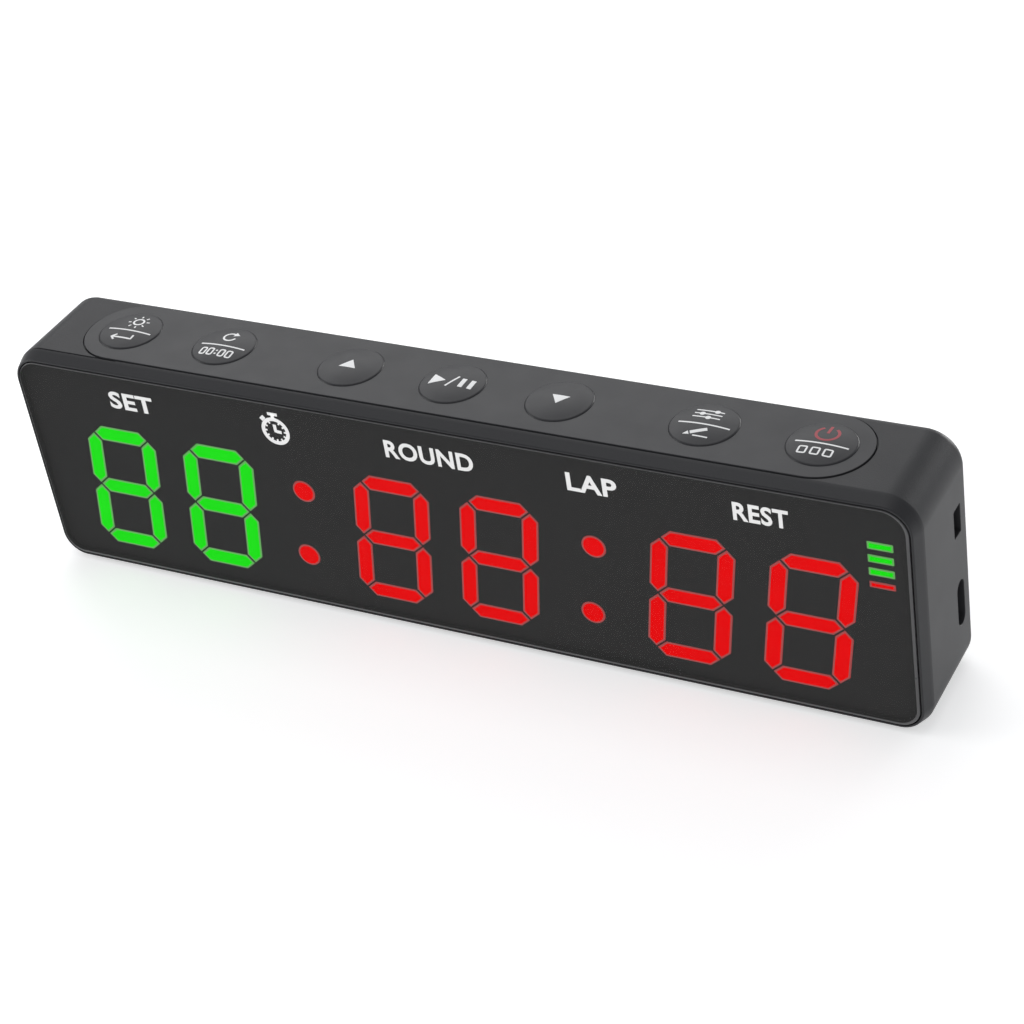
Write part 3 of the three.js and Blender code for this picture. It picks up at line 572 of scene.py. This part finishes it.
# ------------------------------------------------------------------ printed and lit symbols
def stroke(points, width, closed=False):
    """A line of even width with round ends, as an outline of (left, right) pairs."""
    if closed:
        points = points + [points[0]]
    fine = [points[0]]
    for a, b in zip(points, points[1:]):
        steps = max(1, int(hypot(b[0] - a[0], b[1] - a[1]) / 0.35))
        fine += [(a[0] + (b[0] - a[0]) * i / steps, a[1] + (b[1] - a[1]) * i / steps)
                 for i in range(1, steps + 1)]
    left, right = [], []
    for i, here in enumerate(fine):
        if closed and i in (0, len(fine) - 1):
            before, after = fine[-2], fine[1]
        else:
            before, after = fine[max(i - 1, 0)], fine[min(i + 1, len(fine) - 1)]
        along = Vector((after[0] - before[0], after[1] - before[1])).normalized()
        across = Vector((-along.y, along.x)) * width / 2
        left.append((here[0] + across.x, here[1] + across.y))
        right.append((here[0] - across.x, here[1] - across.y))
    return left, right


def ribbon(points, width, height, closed=False):
    """A printed line whose top and underside follow height(u, v) -> (low, high, place)."""
    left, right = stroke(points, width, closed)
    rings = []
    for a, b in zip(left, right):
        rings.append([height(*a, 0), height(*b, 0), height(*b, 1), height(*a, 1)])
    if closed:
        return loft(rings[:-1], closed=True)
    return loft(rings)


def dot(cu, cv, radius, height, sides=20):
    ring = circle(cu, cv, radius, sides)
    return loft([[height(u, v, 0) for u, v in ring], [height(u, v, 1) for u, v in ring]])


def filled(points, height, rings=6):
    """A printed patch inside a convex outline, following the surface under it."""
    edge = []
    for a, b in zip(points, points[1:] + points[:1]):
        edge += [(a[0] + (b[0] - a[0]) * i / rings, a[1] + (b[1] - a[1]) * i / rings)
                 for i in range(rings)]
    cu, cv = (sum(c) / len(points) for c in zip(*points))
    skin = [[height(u, v, 0) for u, v in edge]]
    for i in range(rings):
        scale = 1 - i / rings
        skin.append([height(cu + (u - cu) * scale, cv + (v - cv) * scale, 1) for u, v in edge])
    return loft(skin)


def on_key(key):
    """Puts a drawing about a key's centre on its dome, a hair proud of it."""
    centre = middle("key_cap_" + key)

    def height(u, v, level):
        z = dome_height(hypot(u, v)) + (INK_RISE if level else -INK_SINK)
        return (centre.x + u, centre.y + v, z)
    return height


def sun(cu, cv, h, w):
    rays = [(cu, cv, cos(a), sin(a)) for a in (radians(45 * i + 10) for i in range(8))]
    return [ribbon(circle(cu, cv, 1.1, 28), w, h, closed=True)] + [
        ribbon([(x + 1.75 * c, y + 1.75 * s), (x + 2.4 * c, y + 2.4 * s)], w * 0.8, h)
        for x, y, c, s in rays
    ]


def enter_arrow(cu, cv, h, w):
    tip = (cu - 2.4, cv - 0.3)
    return [
        ribbon([(cu + 2.4, cv + 1.0), (cu + 2.4, cv - 0.3), tip], w, h),
        ribbon([(tip[0] + 1.0, tip[1] + 0.85), tip, (tip[0] + 1.0, tip[1] - 0.85)], w, h),
    ]


def turn_arrow(cu, cv, h, w):
    loop = arc(cu, cv, 1.35, 60, 350, 30)
    u, v = loop[0]
    return [
        ribbon(loop, w, h),
        filled([(u - 0.15, v + 0.85), (u + 1.05, v - 0.1), (u - 0.25, v - 0.7)], h),
    ]


def zeros(cu, cv, h, w):
    """A clock reading of four noughts and a colon."""
    parts = []
    for u in (cu + x for x in (-3.1, -1.35, 1.35, 3.1)):
        nought = rounded(u - 0.55, u + 0.55, cv - 1.0, cv + 1.0, 0.35, 0.35, 4)
        parts.append(ribbon(nought, w, h, closed=True))
    return parts + [dot(cu, cv + s * 0.5, w * 0.62, h) for s in (-1, 1)]


def arrow_head(cu, cv, h, up):
    s = 1 if up else -1
    return [filled([(cu - 1.9, cv - s * 1.2), (cu + 1.9, cv - s * 1.2), (cu, cv + s * 1.5)], h)]


def play_pause(cu, cv, h, w):
    return [
        filled([(cu - 4.7, cv - 1.7), (cu - 1.5, cv), (cu - 4.7, cv + 1.7)], h),
        ribbon([(cu - 0.75, cv - 1.8), (cu + 0.75, cv + 1.8)], w, h),
        ribbon([(cu + 2.2, cv - 1.4), (cu + 2.2, cv + 1.4)], 0.95, h),
        ribbon([(cu + 4.2, cv - 1.4), (cu + 4.2, cv + 1.4)], 0.95, h),
    ]


def sliders(cu, cv, h, w):
    parts = []
    for row, knob in ((1.15, 1.4), (0.0, -1.2), (-1.15, 0.4)):
        parts.append(ribbon([(cu - 2.8, cv + row), (cu + 2.8, cv + row)], w * 0.8, h))
        parts.append(dot(cu + knob, cv + row, 0.55, h))
    return parts


def pencil(cu, cv, h, w):
    return [
        ribbon([(cu - 1.2, cv - 0.6), (cu + 1.7, cv + 0.95)], 0.85, h),
        filled([(cu - 2.5, cv - 1.25), (cu - 1.2, cv - 1.15), (cu - 1.75, cv - 0.25)], h),
        ribbon([(cu - 0.4, cv - 1.3), (cu + 2.6, cv - 1.3)], w * 0.8, h),
    ]


def power_symbol(cu, cv, h, w):
    return [
        ribbon(arc(cu, cv, 2.15, 125, 415, 36), w, h),
        ribbon([(cu, cv + 0.1), (cu, cv + 2.6)], w, h),
    ]


def tiles(cu, cv, h, w):
    parts = []
    for u in (cu + x for x in (-2.5, 0, 2.5)):
        tile = rounded(u - 0.75, u + 0.75, cv - 0.9, cv + 0.9, 0.25, 0.25, 3)
        parts.append(ribbon(tile, w * 0.85, h, closed=True))
    return parts


def make_key_symbols():
    line = 0.42
    upper, lower = 2.75, -3.0

    def divider(h):
        return [ribbon([(-5.0, -0.6), (5.4, -0.6)], 0.38, h)]

    drawings = {
        "brightness": lambda h: (
            sun(0.4, upper, h, line) + divider(h) + enter_arrow(-0.2, lower, h, line)),
        "reset": lambda h: (
            turn_arrow(0, upper - 0.1, h, line) + divider(h) + zeros(0, lower, h, line * 0.9)),
        "up": lambda h: arrow_head(-0.2, 0.2, h, True),
        "start": lambda h: play_pause(0, 0, h, line),
        "down": lambda h: arrow_head(0, -0.1, h, False),
        "set": lambda h: (
            sliders(-0.3, upper, h, line) + divider(h) + pencil(-0.2, lower + 0.1, h, line)),
        "power": lambda h: divider(h) + tiles(-0.2, lower, h, line),
    }
    for key, draw in drawings.items():
        printed = piece("symbol_" + key, draw(on_key(key)), ink, 60)
        stands_for(printed, "key_" + key, "ribbon_white")
    drawn = power_symbol(0.1, upper - 0.1, on_key("power"), 0.56)
    power = piece("symbol_power_red", drawn, red_ink, 60)
    stands_for(power, "key_power", "glow_red")


# ------------------------------------------------------------------ display
def segment_outlines(growth=0.0):
    """The seven segments of a digit about its centre, slanted."""
    w, h, gap = SEGMENT["half_width"], SEGMENT["half_height"], SEGMENT["gap"]
    half = SEGMENT["width"] / 2

    def bar(start, end, place):
        a, b = start + gap, end - gap
        ends = [(a, 0), (a + half, -half), (b - half, -half),
                (b, 0), (b - half, half), (a + half, half)]
        points = [place(along, off) for along, off in ends]
        return [(x + SLANT * z, z) for x, z in (grown(points, growth) if growth else points)]

    level = [bar(-w, w, lambda along, off, z=z: (along, z + off)) for z in (h, 0, -h)]
    upright = [
        bar(*reach, lambda along, off, x=x: (x - off, along))
        for x, reach in ((-w, (0, h)), (w, (0, h)), (-w, (-h, 0)), (w, (-h, 0)))
    ]
    return level + upright


def shifted(points, u, v):
    return [(x + u, z + v) for x, z in points]


def light_window(outline, back):
    """The bright core of a light guide."""
    shoulder = LIGHT_FACE + 0.1
    levels = [(back, 0), (shoulder, 0), (shoulder, -LIGHT_RIM), (LIGHT_FACE, -LIGHT_RIM)]
    return prism(outline, levels, front)


def light_rim(outline):
    """The duller border of a light guide, where light leaks along its wall."""
    inner, outer, base = -LIGHT_RIM + 0.004, -0.01, LIGHT_FACE + 0.09
    levels = [(LIGHT_FACE, inner), (LIGHT_FACE, -0.08), (LIGHT_FACE + 0.04, outer),
              (base, outer), (base, inner)]
    rings = [[front(u, v, w) for u, v in grown(outline, growth)] for w, growth in levels]
    return loft(rings, closed=True)


def add_rims(name, outlines, material, slot):
    rims = piece(name + "_rim", [light_rim(o) for o in outlines], material, 50)
    stands_for(rims, "case", slot)


def make_digit(index):
    low, high = span(f"digit_diffuser_{index}")
    centre = (low + high) / 2
    plate = high.y - 0.8
    outlines = [shifted(o, centre.x, centre.z) for o in segment_outlines()]
    parts = [light_window(o, plate + 0.2) for o in outlines]
    half = (high - low) / 2
    lean = SLANT * half.z
    sheet = [(-half.x + 2 * lean, half.z), (half.x, half.z),
             (half.x - 2 * lean, -half.z), (-half.x, -half.z)]
    parts.append(slab(shifted(sheet, centre.x, centre.z), plate, high.y, front))
    colour = "green" if index < 3 else "red"
    digit = piece(f"digit_{index}", parts, LIGHTS[colour], 50)
    add_rims(f"digit_{index}", outlines, RIM_LIGHTS[colour], "glow_" + colour)
    return stands_for(digit, "case", "glow_" + colour, f"digit_diffuser_{index}")


def colon_dots(index):
    """The centres of a colon's two dots."""
    low, high = span(f"colon_diffuser_{index}")
    centre = (low + high) / 2
    return [(centre.x + SLANT * s * DOT_REACH, centre.z + s * DOT_REACH) for s in (-1, 1)]


def make_colon(index):
    low, high = span(f"colon_diffuser_{index}")
    outlines = [circle(u, v, DOT_RADIUS, 48) for u, v in colon_dots(index)]
    parts = [light_window(o, high.y - 0.6) for o in outlines]
    sheet = rounded(low.x, high.x, low.z, high.z, 0.6, 0.6, 4)
    parts.append(slab(sheet, high.y - 0.8, high.y, front))
    colon = piece(f"colon_{index}", parts, red_light, 50)
    add_rims(f"colon_{index}", outlines, red_rim, "glow_red")
    return stands_for(colon, "case", "glow_red", f"colon_diffuser_{index}")


def gauge_outlines(colour):
    """The bars of one colour, from the bottom up."""
    low, high = span("gauge_diffuser_" + colour)
    centre = (low.x + high.x) / 2
    pitch, trim, half = GAUGE["pitch"], GAUGE["trim"], GAUGE["half_width"]
    count = 3 if colour == "green" else 1
    tall = (high.z - low.z) - pitch * (count - 1)
    bases = [low.z + pitch * i for i in range(count)]
    return [
        rounded(centre - half, centre + half, base + trim, base + tall - trim, 0.2, 0.2, 3)
        for base in bases
    ]


def make_gauge(colour):
    low, high = span("gauge_diffuser_" + colour)
    outlines = gauge_outlines(colour)
    parts = [light_window(o, high.y - 0.6) for o in outlines]
    sheet = rounded(low.x, high.x, low.z, high.z, 0.3, 0.3, 3)
    parts.append(slab(sheet, high.y - 0.8, high.y, front))
    gauge = piece("gauge_" + colour, parts, LIGHTS[colour], 50)
    add_rims("gauge_" + colour, outlines, RIM_LIGHTS[colour], "glow_" + colour)
    return stands_for(gauge, "case", "glow_" + colour, "gauge_diffuser_" + colour)


def make_mask():
    """The black reflector, with a window for every segment, dot and bar."""
    low, high = REFLECTOR_LOW, REFLECTOR_HIGH
    notch = 5.7
    face = low.y + 0.75
    edge = LEDGE_INSET + 0.06
    right, top_z, bottom_z = high.x, high.z - 0.6, low.z
    outline = []
    for su, sv in ((1, 1), (-1, 1), (-1, -1), (1, -1)):
        u, v = su * right, top_z if sv > 0 else bottom_z
        corner = [(u, v - sv * notch), (u - su * notch, v - sv * notch), (u - su * notch, v)]
        outline += corner if su * sv > 0 else corner[::-1]
    parts = [slab(case_outline(edge), MASK_FACE, face, front),
             slab(outline, face + 0.02, high.y, front)]
    # The mask's finish carries its painted glow.
    block = piece("display_mask", parts, mask)
    room = 0.03
    reach = (MASK_FACE - 1, high.y + 1)
    windows = []
    for index in range(1, 7):
        centre = middle(f"digit_diffuser_{index}")
        for shape in segment_outlines(room):
            windows.append(slab(shifted(shape, centre.x, centre.z), *reach, front))
    for index in (1, 2):
        windows += [slab(circle(u, v, DOT_RADIUS + room, 48), *reach, front)
                    for u, v in colon_dots(index)]
    for colour in ("green", "red"):
        windows += [slab(grown(o, room), *reach, front) for o in gauge_outlines(colour)]
    cut(block, windows)
    stands_for(block, "case", "mask_black", "display_reflector")
    outer, inner, base = LENS_INSET + 0.05, edge - 0.01, LEDGE_FRONT - 0.02
    levels = [(MASK_FACE, outer), (MASK_FACE, inner), (base, inner), (base, outer)]
    # The printed border takes the mask's finish, painted glow included.
    border = piece("lens_border", [loft(lens_rings(levels), closed=True)], mask)
    stands_for(border, "case", "tape", "lens_tape")


def make_lens():
    """A smoked window with a chamfered border drawn lighter as a painted highlight, sitting in the
    pocket of the case.
    """
    inset = LENS_INSET
    sheet = [[front(x, z, y) for x, z in bevel_edge(COLLAR + FIT)] for y in (LENS_LOW.y, LENS_BACK)]
    lens = piece("lens_window", [loft(sheet)], lens_glass, 25)
    stands_for(lens, "case", "smoked_lens", "front_lens")
    levels = [(LENS_LOW.y + 0.005, inset + 0.11), (LENS_LOW.y + 0.04, inset + 0.05),
              (LENS_LOW.y + 0.1, inset + 0.015), (LENS_LOW.y + 0.2, inset), (LENS_BACK, inset)]
    inner = [[front(x, z, y) for x, z in bevel_edge()] for y in (LENS_BACK, LENS_LOW.y)]
    rings = [inner[1]] + lens_rings(levels) + [inner[0]]
    # The lens's border, drawn lighter as a painted highlight.
    bevel = piece("bevel_painted_highlight", [loft(rings, closed=True)], bevel_painted_highlight, 40)
    stands_for(bevel, "case", "smoked_lens")
    # The collar lays the mask's painted glow over the shaded inner wall of the border.
    near = LENS_LOW.y + 0.02
    section = [(near, FIT), (near, COLLAR), (LENS_BACK, COLLAR), (LENS_BACK, FIT)]
    rings = [[front(x, z, y) for x, z in bevel_edge(growth)] for y, growth in section]
    stands_for(piece("lens_collar", [loft(rings, closed=True)], mask), "case", "mask_black")


def bevel_edge(growth=0.0):
    """Inner edge of the lens's border, shifted so that its painted highlight is thin along the top
    and the left and wider along the bottom and the right.
    """
    return [(x - 0.2, z + 0.14) for x, z in case_outline(LENS_INSET + BEVEL + growth)]


def lens_rings(levels):
    return [[front(x, z, y) for x, z in case_outline(inset)] for y, inset in levels]


def on_strip(cu, cv):
    """Puts a drawing about a point on the face of the legend film."""
    def height(u, v, level):
        return (cu + u, LEGEND_FACE + (0 if level else 0.02), cv + v)
    return height


def make_strip():
    """The clear film behind the lens that carries the legends."""
    outline = rounded(STRIP_LOW.x, STRIP_HIGH.x, STRIP_LOW.z, STRIP_HIGH.z, 0.8, 0.8, 4)
    # Drawn in the mask's finish, painted glow included.
    strip = piece("legend_film", [slab(outline, MASK_FACE - 0.003, MASK_FACE + 0.04, front)], mask)
    return stands_for(strip, "case", "mask_black", "legend_strip")


def word(name, text, centre_x, low_z, height, width):
    """A generic label in plain capitals, scaled to a height and a width."""
    curve = bpy.data.curves.new(name, "FONT")
    curve.body = text
    curve.size = 1
    curve.offset = 0.028
    curve.space_character = 1.06
    curve.resolution_u = 4
    curve.extrude = 0.01
    holder = bpy.data.objects.new(name, curve)
    bpy.context.scene.collection.objects.link(holder)
    bpy.context.view_layer.update()
    evaluated = holder.evaluated_get(bpy.context.evaluated_depsgraph_get())
    mesh = bpy.data.meshes.new_from_object(evaluated)
    bpy.data.objects.remove(holder)
    us = [v.co.x for v in mesh.vertices]
    vs = [v.co.y for v in mesh.vertices]
    su, sv = width / (max(us) - min(us)), height / (max(vs) - min(vs))
    for v in mesh.vertices:
        u = (v.co.x - (max(us) + min(us)) / 2) * su
        rise = (v.co.y - min(vs)) * sv
        depth = LEGEND_FACE + (0 if v.co.z > 0 else 0.02)
        v.co = Vector((centre_x + u, depth, low_z + rise)) * MM
    mesh.flip_normals()
    obj = bpy.data.objects.new(name, mesh)
    bpy.context.scene.collection.objects.link(obj)
    obj.data.materials.clear()
    # The label glows: painted light on print.
    obj.data.materials.append(legend_painted_glow)
    return stands_for(obj, "case", "ribbon_white")


def make_legends():
    low, tall = STRIP_LOW.z + 2.5, 4.2
    word("label_set", "SET", -71, low, tall, 11)
    word("label_round", "ROUND", -0.3, low, tall, 19.8)
    word("label_lap", "LAP", 35, low, tall, 10.6)
    word("label_rest", "REST", 69.35, low, tall, 11)
    h = on_strip(-35.65, 43.7)
    parts = [ribbon(circle(0, 0, 2.85, 48), 0.84, h, closed=True)]
    parts.append(ribbon([(0, 1.6), (0, 0), (1.4, -0.1)], 0.75, h))
    for i in range(12):
        c, s = cos(radians(30 * i)), sin(radians(30 * i))
        if i != 3:
            parts.append(ribbon([(1.95 * c, 1.95 * s), (2.5 * c, 2.5 * s)], 0.38, h))
    parts.append(ribbon([(-1.1, 4.1), (1.2, 4.1)], 0.7, h))
    parts.append(ribbon([(0, 3.1), (0, 4.05)], 0.8, h))
    parts.append(ribbon([(-2.95, 2.35), (-2.1, 3.2)], 0.9, h))
    # The symbol glows: painted light on print.
    watch = piece("stopwatch_symbol", parts, legend_painted_glow, 60)
    stands_for(watch, "case", "ribbon_white")


# ------------------------------------------------------------------ right end
def make_port():
    low, high = span("usb_shell")
    centre = (low + high) / 2
    outer = stadium(centre.y, centre.z, (high.y - low.y) / 2, (high.z - low.z) / 2)
    lip, sheet = 0.08, 0.3
    rings = [(low.x, 0), (high.x - lip, 0), (high.x, -lip),
             (high.x, -sheet + lip), (high.x - lip, -sheet), (low.x, -sheet)]
    skin = [[side(u, v, x) for u, v in grown(outer, growth)] for x, growth in rings]
    shell = piece("port_shell", [loft(skin, closed=True)], dark_plated)
    stands_for(shell, "case", "nickel", "usb_shell")

    low, high = span("usb_insulator")
    half = 0.35
    reach = 3.35
    tongue = rounded(centre.y - half, centre.y + half, centre.z - reach, centre.z + reach,
                     0.2, 0.2, 3)
    plug = stadium(centre.y, centre.z, 1.15, 4.0)
    parts = [
        prism(tongue, [(low.x + 1, 0), (high.x - 0.15, 0), (high.x, -0.12)], side),
        slab(plug, low.x, low.x + 1.6, side),
    ]
    insulator = piece("port_tongue", parts, black_nylon)
    stands_for(insulator, "case", "switch_black", "usb_insulator")
    pads = []
    thick, wide, pitch, count = 0.03, 0.26, 0.5, 12
    for i in range(count):
        z = centre.z + (i - (count - 1) / 2) * pitch
        for s in (-1, 1):
            near, far = sorted((centre.y + s * half, centre.y + s * half + s * thick))
            pad = rounded(near, far, z - wide / 2, z + wide / 2, 0.005, 0.005, 1)
            pads.append(slab(pad, high.x - 4.2, high.x - 0.7, side))
    stands_for(piece("port_contacts", pads, gold), "case", "nickel")


def make_switch():
    low, high = span("slide_switch_knob")
    centre = (low + high) / 2
    half_y, half_z = (high.y - low.y) / 2, (high.z - low.z) / 2
    outline = rounded(centre.y - half_y, centre.y + half_y, centre.z - half_z, centre.z + half_z,
                      0.3, 0.3, 4)
    levels = [(low.x, 0), (high.x - 0.15, 0), (high.x - 0.04, -0.04), (high.x, -0.14)]
    knob = piece("switch_knob", [prism(outline, levels, side)], black_nylon)
    half, above, depth, pitch = 0.16, 0.1, 0.22, 0.62
    grooves = []
    for z in (centre.z - pitch, centre.z, centre.z + pitch):
        section = ((z - half, high.x + above), (z, high.x - depth), (z + half, high.x + above))
        ends = (low.y - 0.5, high.y + 0.5)
        grooves.append(loft([[side(y, v, x) for v, x in section] for y in ends]))
    cut(knob, grooves)
    stands_for(knob, "power_switch", "switch_black", "slide_switch_knob")


# ------------------------------------------------------------------ back
def cross_cutter(x, z, top_y, radius, depth):
    """The cross in a screw's head."""
    arm, half = radius * 0.62, radius * 0.15
    plus = [(arm, -half), (arm, half), (half, half), (half, arm), (-half, arm), (-half, half),
            (-arm, half), (-arm, -half), (-half, -half), (-half, -arm), (half, -arm), (half, -half)]
    return prism(shifted(plus, x, z), [(top_y - depth, -0.05), (top_y + 1, 0.12)], front)


def make_screw(node, name):
    low, high = span(node)
    centre = (low + high) / 2
    head = (high.x - low.x) / 2
    height, shank, point = 1.2, 0.9, 1.2
    base = high.y - height
    shoulder = base + height * 0.45
    profile = [(0, low.y), (shank * 0.4, low.y), (shank, low.y + point), (shank, base),
               (head, base), (head, shoulder)]
    profile += [(head - 0.5 * (1 - cos(a)), shoulder + height * 0.5 * sin(a))
                for a in (radians(22.5 * i) for i in range(1, 5))]
    profile += [(head * 0.45, high.y), (0, high.y)]
    made = piece(name, [turned(profile, (centre.x, 0, centre.z), 48, "Y")], screw_steel)
    cut(made, [cross_cutter(centre.x, centre.z, high.y, head, 0.75)])
    return stands_for(made, "case", "steel", node)


def make_cover():
    inset = COVER_LOW.x - CASE_LOW.x
    inner = COVER_HIGH.y - 2.2
    levels = [(inner, inset), (COVER_HIGH.y - 0.3, inset), (COVER_HIGH.y - 0.09, inset + 0.09),
              (COVER_HIGH.y, inset + 0.3)]
    rings = [[front(x, z, y) for x, z in case_outline(i)] for y, i in levels]
    cover = piece("back_cover", [loft(rings)], cover_plastic)
    below, above = inner - 1, COVER_HIGH.y + 1
    seat, mouth, edge = COVER_HIGH.y - 1.4, COVER_HIGH.y - 0.15, 0.3
    hole, head, vent, vent_circle = 1.5, 2.7, 0.7, 2.6
    corners = ("left_bottom", "left_top", "right_bottom", "right_top")
    cuts = []
    for corner in corners:
        centre = middle("cover_screw_" + corner)
        profile = [(0, below), (hole, below), (hole, seat), (head, seat), (head, mouth),
                   (head + edge, mouth + edge), (head + edge, above), (0, above)]
        cuts.append(turned(profile, (centre.x, 0, centre.z), 64, "Y"))
    buzzer = middle("buzzer")
    profile = [(0, below), (vent, below), (vent, mouth), (vent + edge, mouth + edge),
               (vent + edge, above), (0, above)]
    for u, v in [(0, 0)] + circle(0, 0, vent_circle, 6):
        cuts.append(turned(profile, (buzzer.x + u, 0, buzzer.z + v), 24, "Y"))
    cut(cover, cuts)
    level_normals(cover)
    stands_for(cover, "case", "cover_black", "rear_cover")
    for corner in corners:
        make_screw("cover_screw_" + corner, "back_screw_" + corner)


# ------------------------------------------------------------------ finish of the inner parts
def dress_inner_parts():
    """Every CAD node that stays gets the finish of its kind."""
    kinds = {
        "display_board": board, "key_board": board, "power_board": board,
        "tact_switch_": plated, "switch_plunger_": black_nylon, "slide_switch_body": black_nylon,
        "battery_cell": pouch, "battery_lead": sleeve, "battery_connector": white_nylon,
        "buzzer": epoxy, "keypad_ribbon": white_nylon, "magnet_": plated,
        "board_screw_": screw_steel, "key_board_screw_": screw_steel,
    }
    for name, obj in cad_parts.items():
        for start, material in kinds.items():
            if name.startswith(start):
                obj.data.materials.clear()
                obj.data.materials.append(material)


# ------------------------------------------------------------------ studio
AMBIENT = 0.42  # how strongly the studio's walls light the object
BACKDROP = 0.95  # how bright the same walls look
FLOOR_GLOW = 0.5  # the floor is a lit white table


def make_floor():
    half, drop = 6.0, 0.0002
    corners = [(-half, -half, 0), (half, -half, 0), (half, half, 0), (-half, half, 0)]
    mesh = bpy.data.meshes.new("floor")
    mesh.from_pydata(corners, [], [(0, 1, 2, 3)])
    floor = bpy.data.objects.new("floor", mesh)
    bpy.context.scene.collection.objects.link(floor)
    material = bpy.data.materials.new("floor")
    material.use_nodes = True
    shader = material.node_tree.nodes["Principled BSDF"]
    shader.inputs["Base Color"].default_value = (0.85, 0.85, 0.85, 1)
    shader.inputs["Roughness"].default_value = 0.9
    shader.inputs["Specular IOR Level"].default_value = 0.1
    shader.inputs["Emission Color"].default_value = (1, 1, 1, 1)
    shader.inputs["Emission Strength"].default_value = FLOOR_GLOW
    floor.data.materials.append(material)
    floor.location.z = -drop


def softbox(name, place, aim, size, power):
    light = bpy.data.lights.new(name, "AREA")
    light.shape = "RECTANGLE"
    light.size, light.size_y = size
    light.energy = power
    obj = bpy.data.objects.new(name, light)
    bpy.context.scene.collection.objects.link(obj)
    obj.location = place
    obj.rotation_mode = "QUATERNION"
    obj.rotation_quaternion = (Vector(aim) - Vector(place)).to_track_quat("-Z", "Y")


def make_studio():
    scene = bpy.context.scene
    scene.view_settings.view_transform = "Standard"
    world = bpy.data.worlds.new("studio")
    world.use_nodes = True
    tree = world.node_tree
    background = tree.nodes["Background"]
    background.inputs["Color"].default_value = (0.95, 0.97, 1, 1)
    seen = add(tree, "ShaderNodeLightPath")
    level = add(tree, "ShaderNodeMapRange", To_Min=AMBIENT, To_Max=BACKDROP)
    tree.links.new(seen.outputs["Is Camera Ray"], level.inputs["Value"])
    tree.links.new(level.outputs["Result"], background.inputs["Strength"])
    scene.world = world
    centre = (0, 0, 0.026)
    softbox("back_light", (-0.34, 0.6, 0.5), centre, (0.8, 0.4), 2.2)
    softbox("right_light", (0.35, 1.2, 0.1), centre, (0.5, 0.3), 6.5)
    softbox("left_light", (-0.9, -0.3, 0.3), centre, (0.5, 0.5), 3)
    softbox("top_light", (0, 0.1, 1.0), centre, (0.6, 0.6), 1.6)
    make_floor()


def make_camera():
    """The view of the reference: from the right, 35 degrees above, rolled by 10 degrees."""
    azimuth, elevation, roll = radians(32.98), radians(35.18), radians(-9.91)
    aim = Vector((7.63, 1.9, 22.78)) * MM
    distance = 515.7 * MM
    back = Vector((sin(azimuth) * cos(elevation), -cos(azimuth) * cos(elevation), sin(elevation)))
    data = bpy.data.cameras.new("camera")
    data.lens = 90.29
    data.sensor_width = 36
    camera = bpy.data.objects.new("camera", data)
    bpy.context.scene.collection.objects.link(camera)
    camera.location = aim + back * distance
    upright = (-back).to_track_quat("-Z", "Y").to_matrix()
    camera.rotation_euler = (upright @ Matrix.Rotation(roll, 3, "Z")).to_euler()
    bpy.context.scene.camera = camera


make_camera()
make_studio()
make_case()
make_film()
for key_name in KEYS:
    make_key(key_name)
make_key_symbols()
make_lens()
make_strip()
make_legends()
make_mask()
for digit_index in range(1, 7):
    make_digit(digit_index)
for colon_index in (1, 2):
    make_colon(colon_index)
for gauge_colour in ("green", "red"):
    make_gauge(gauge_colour)
make_port()
make_switch()
make_cover()
dress_inner_parts()
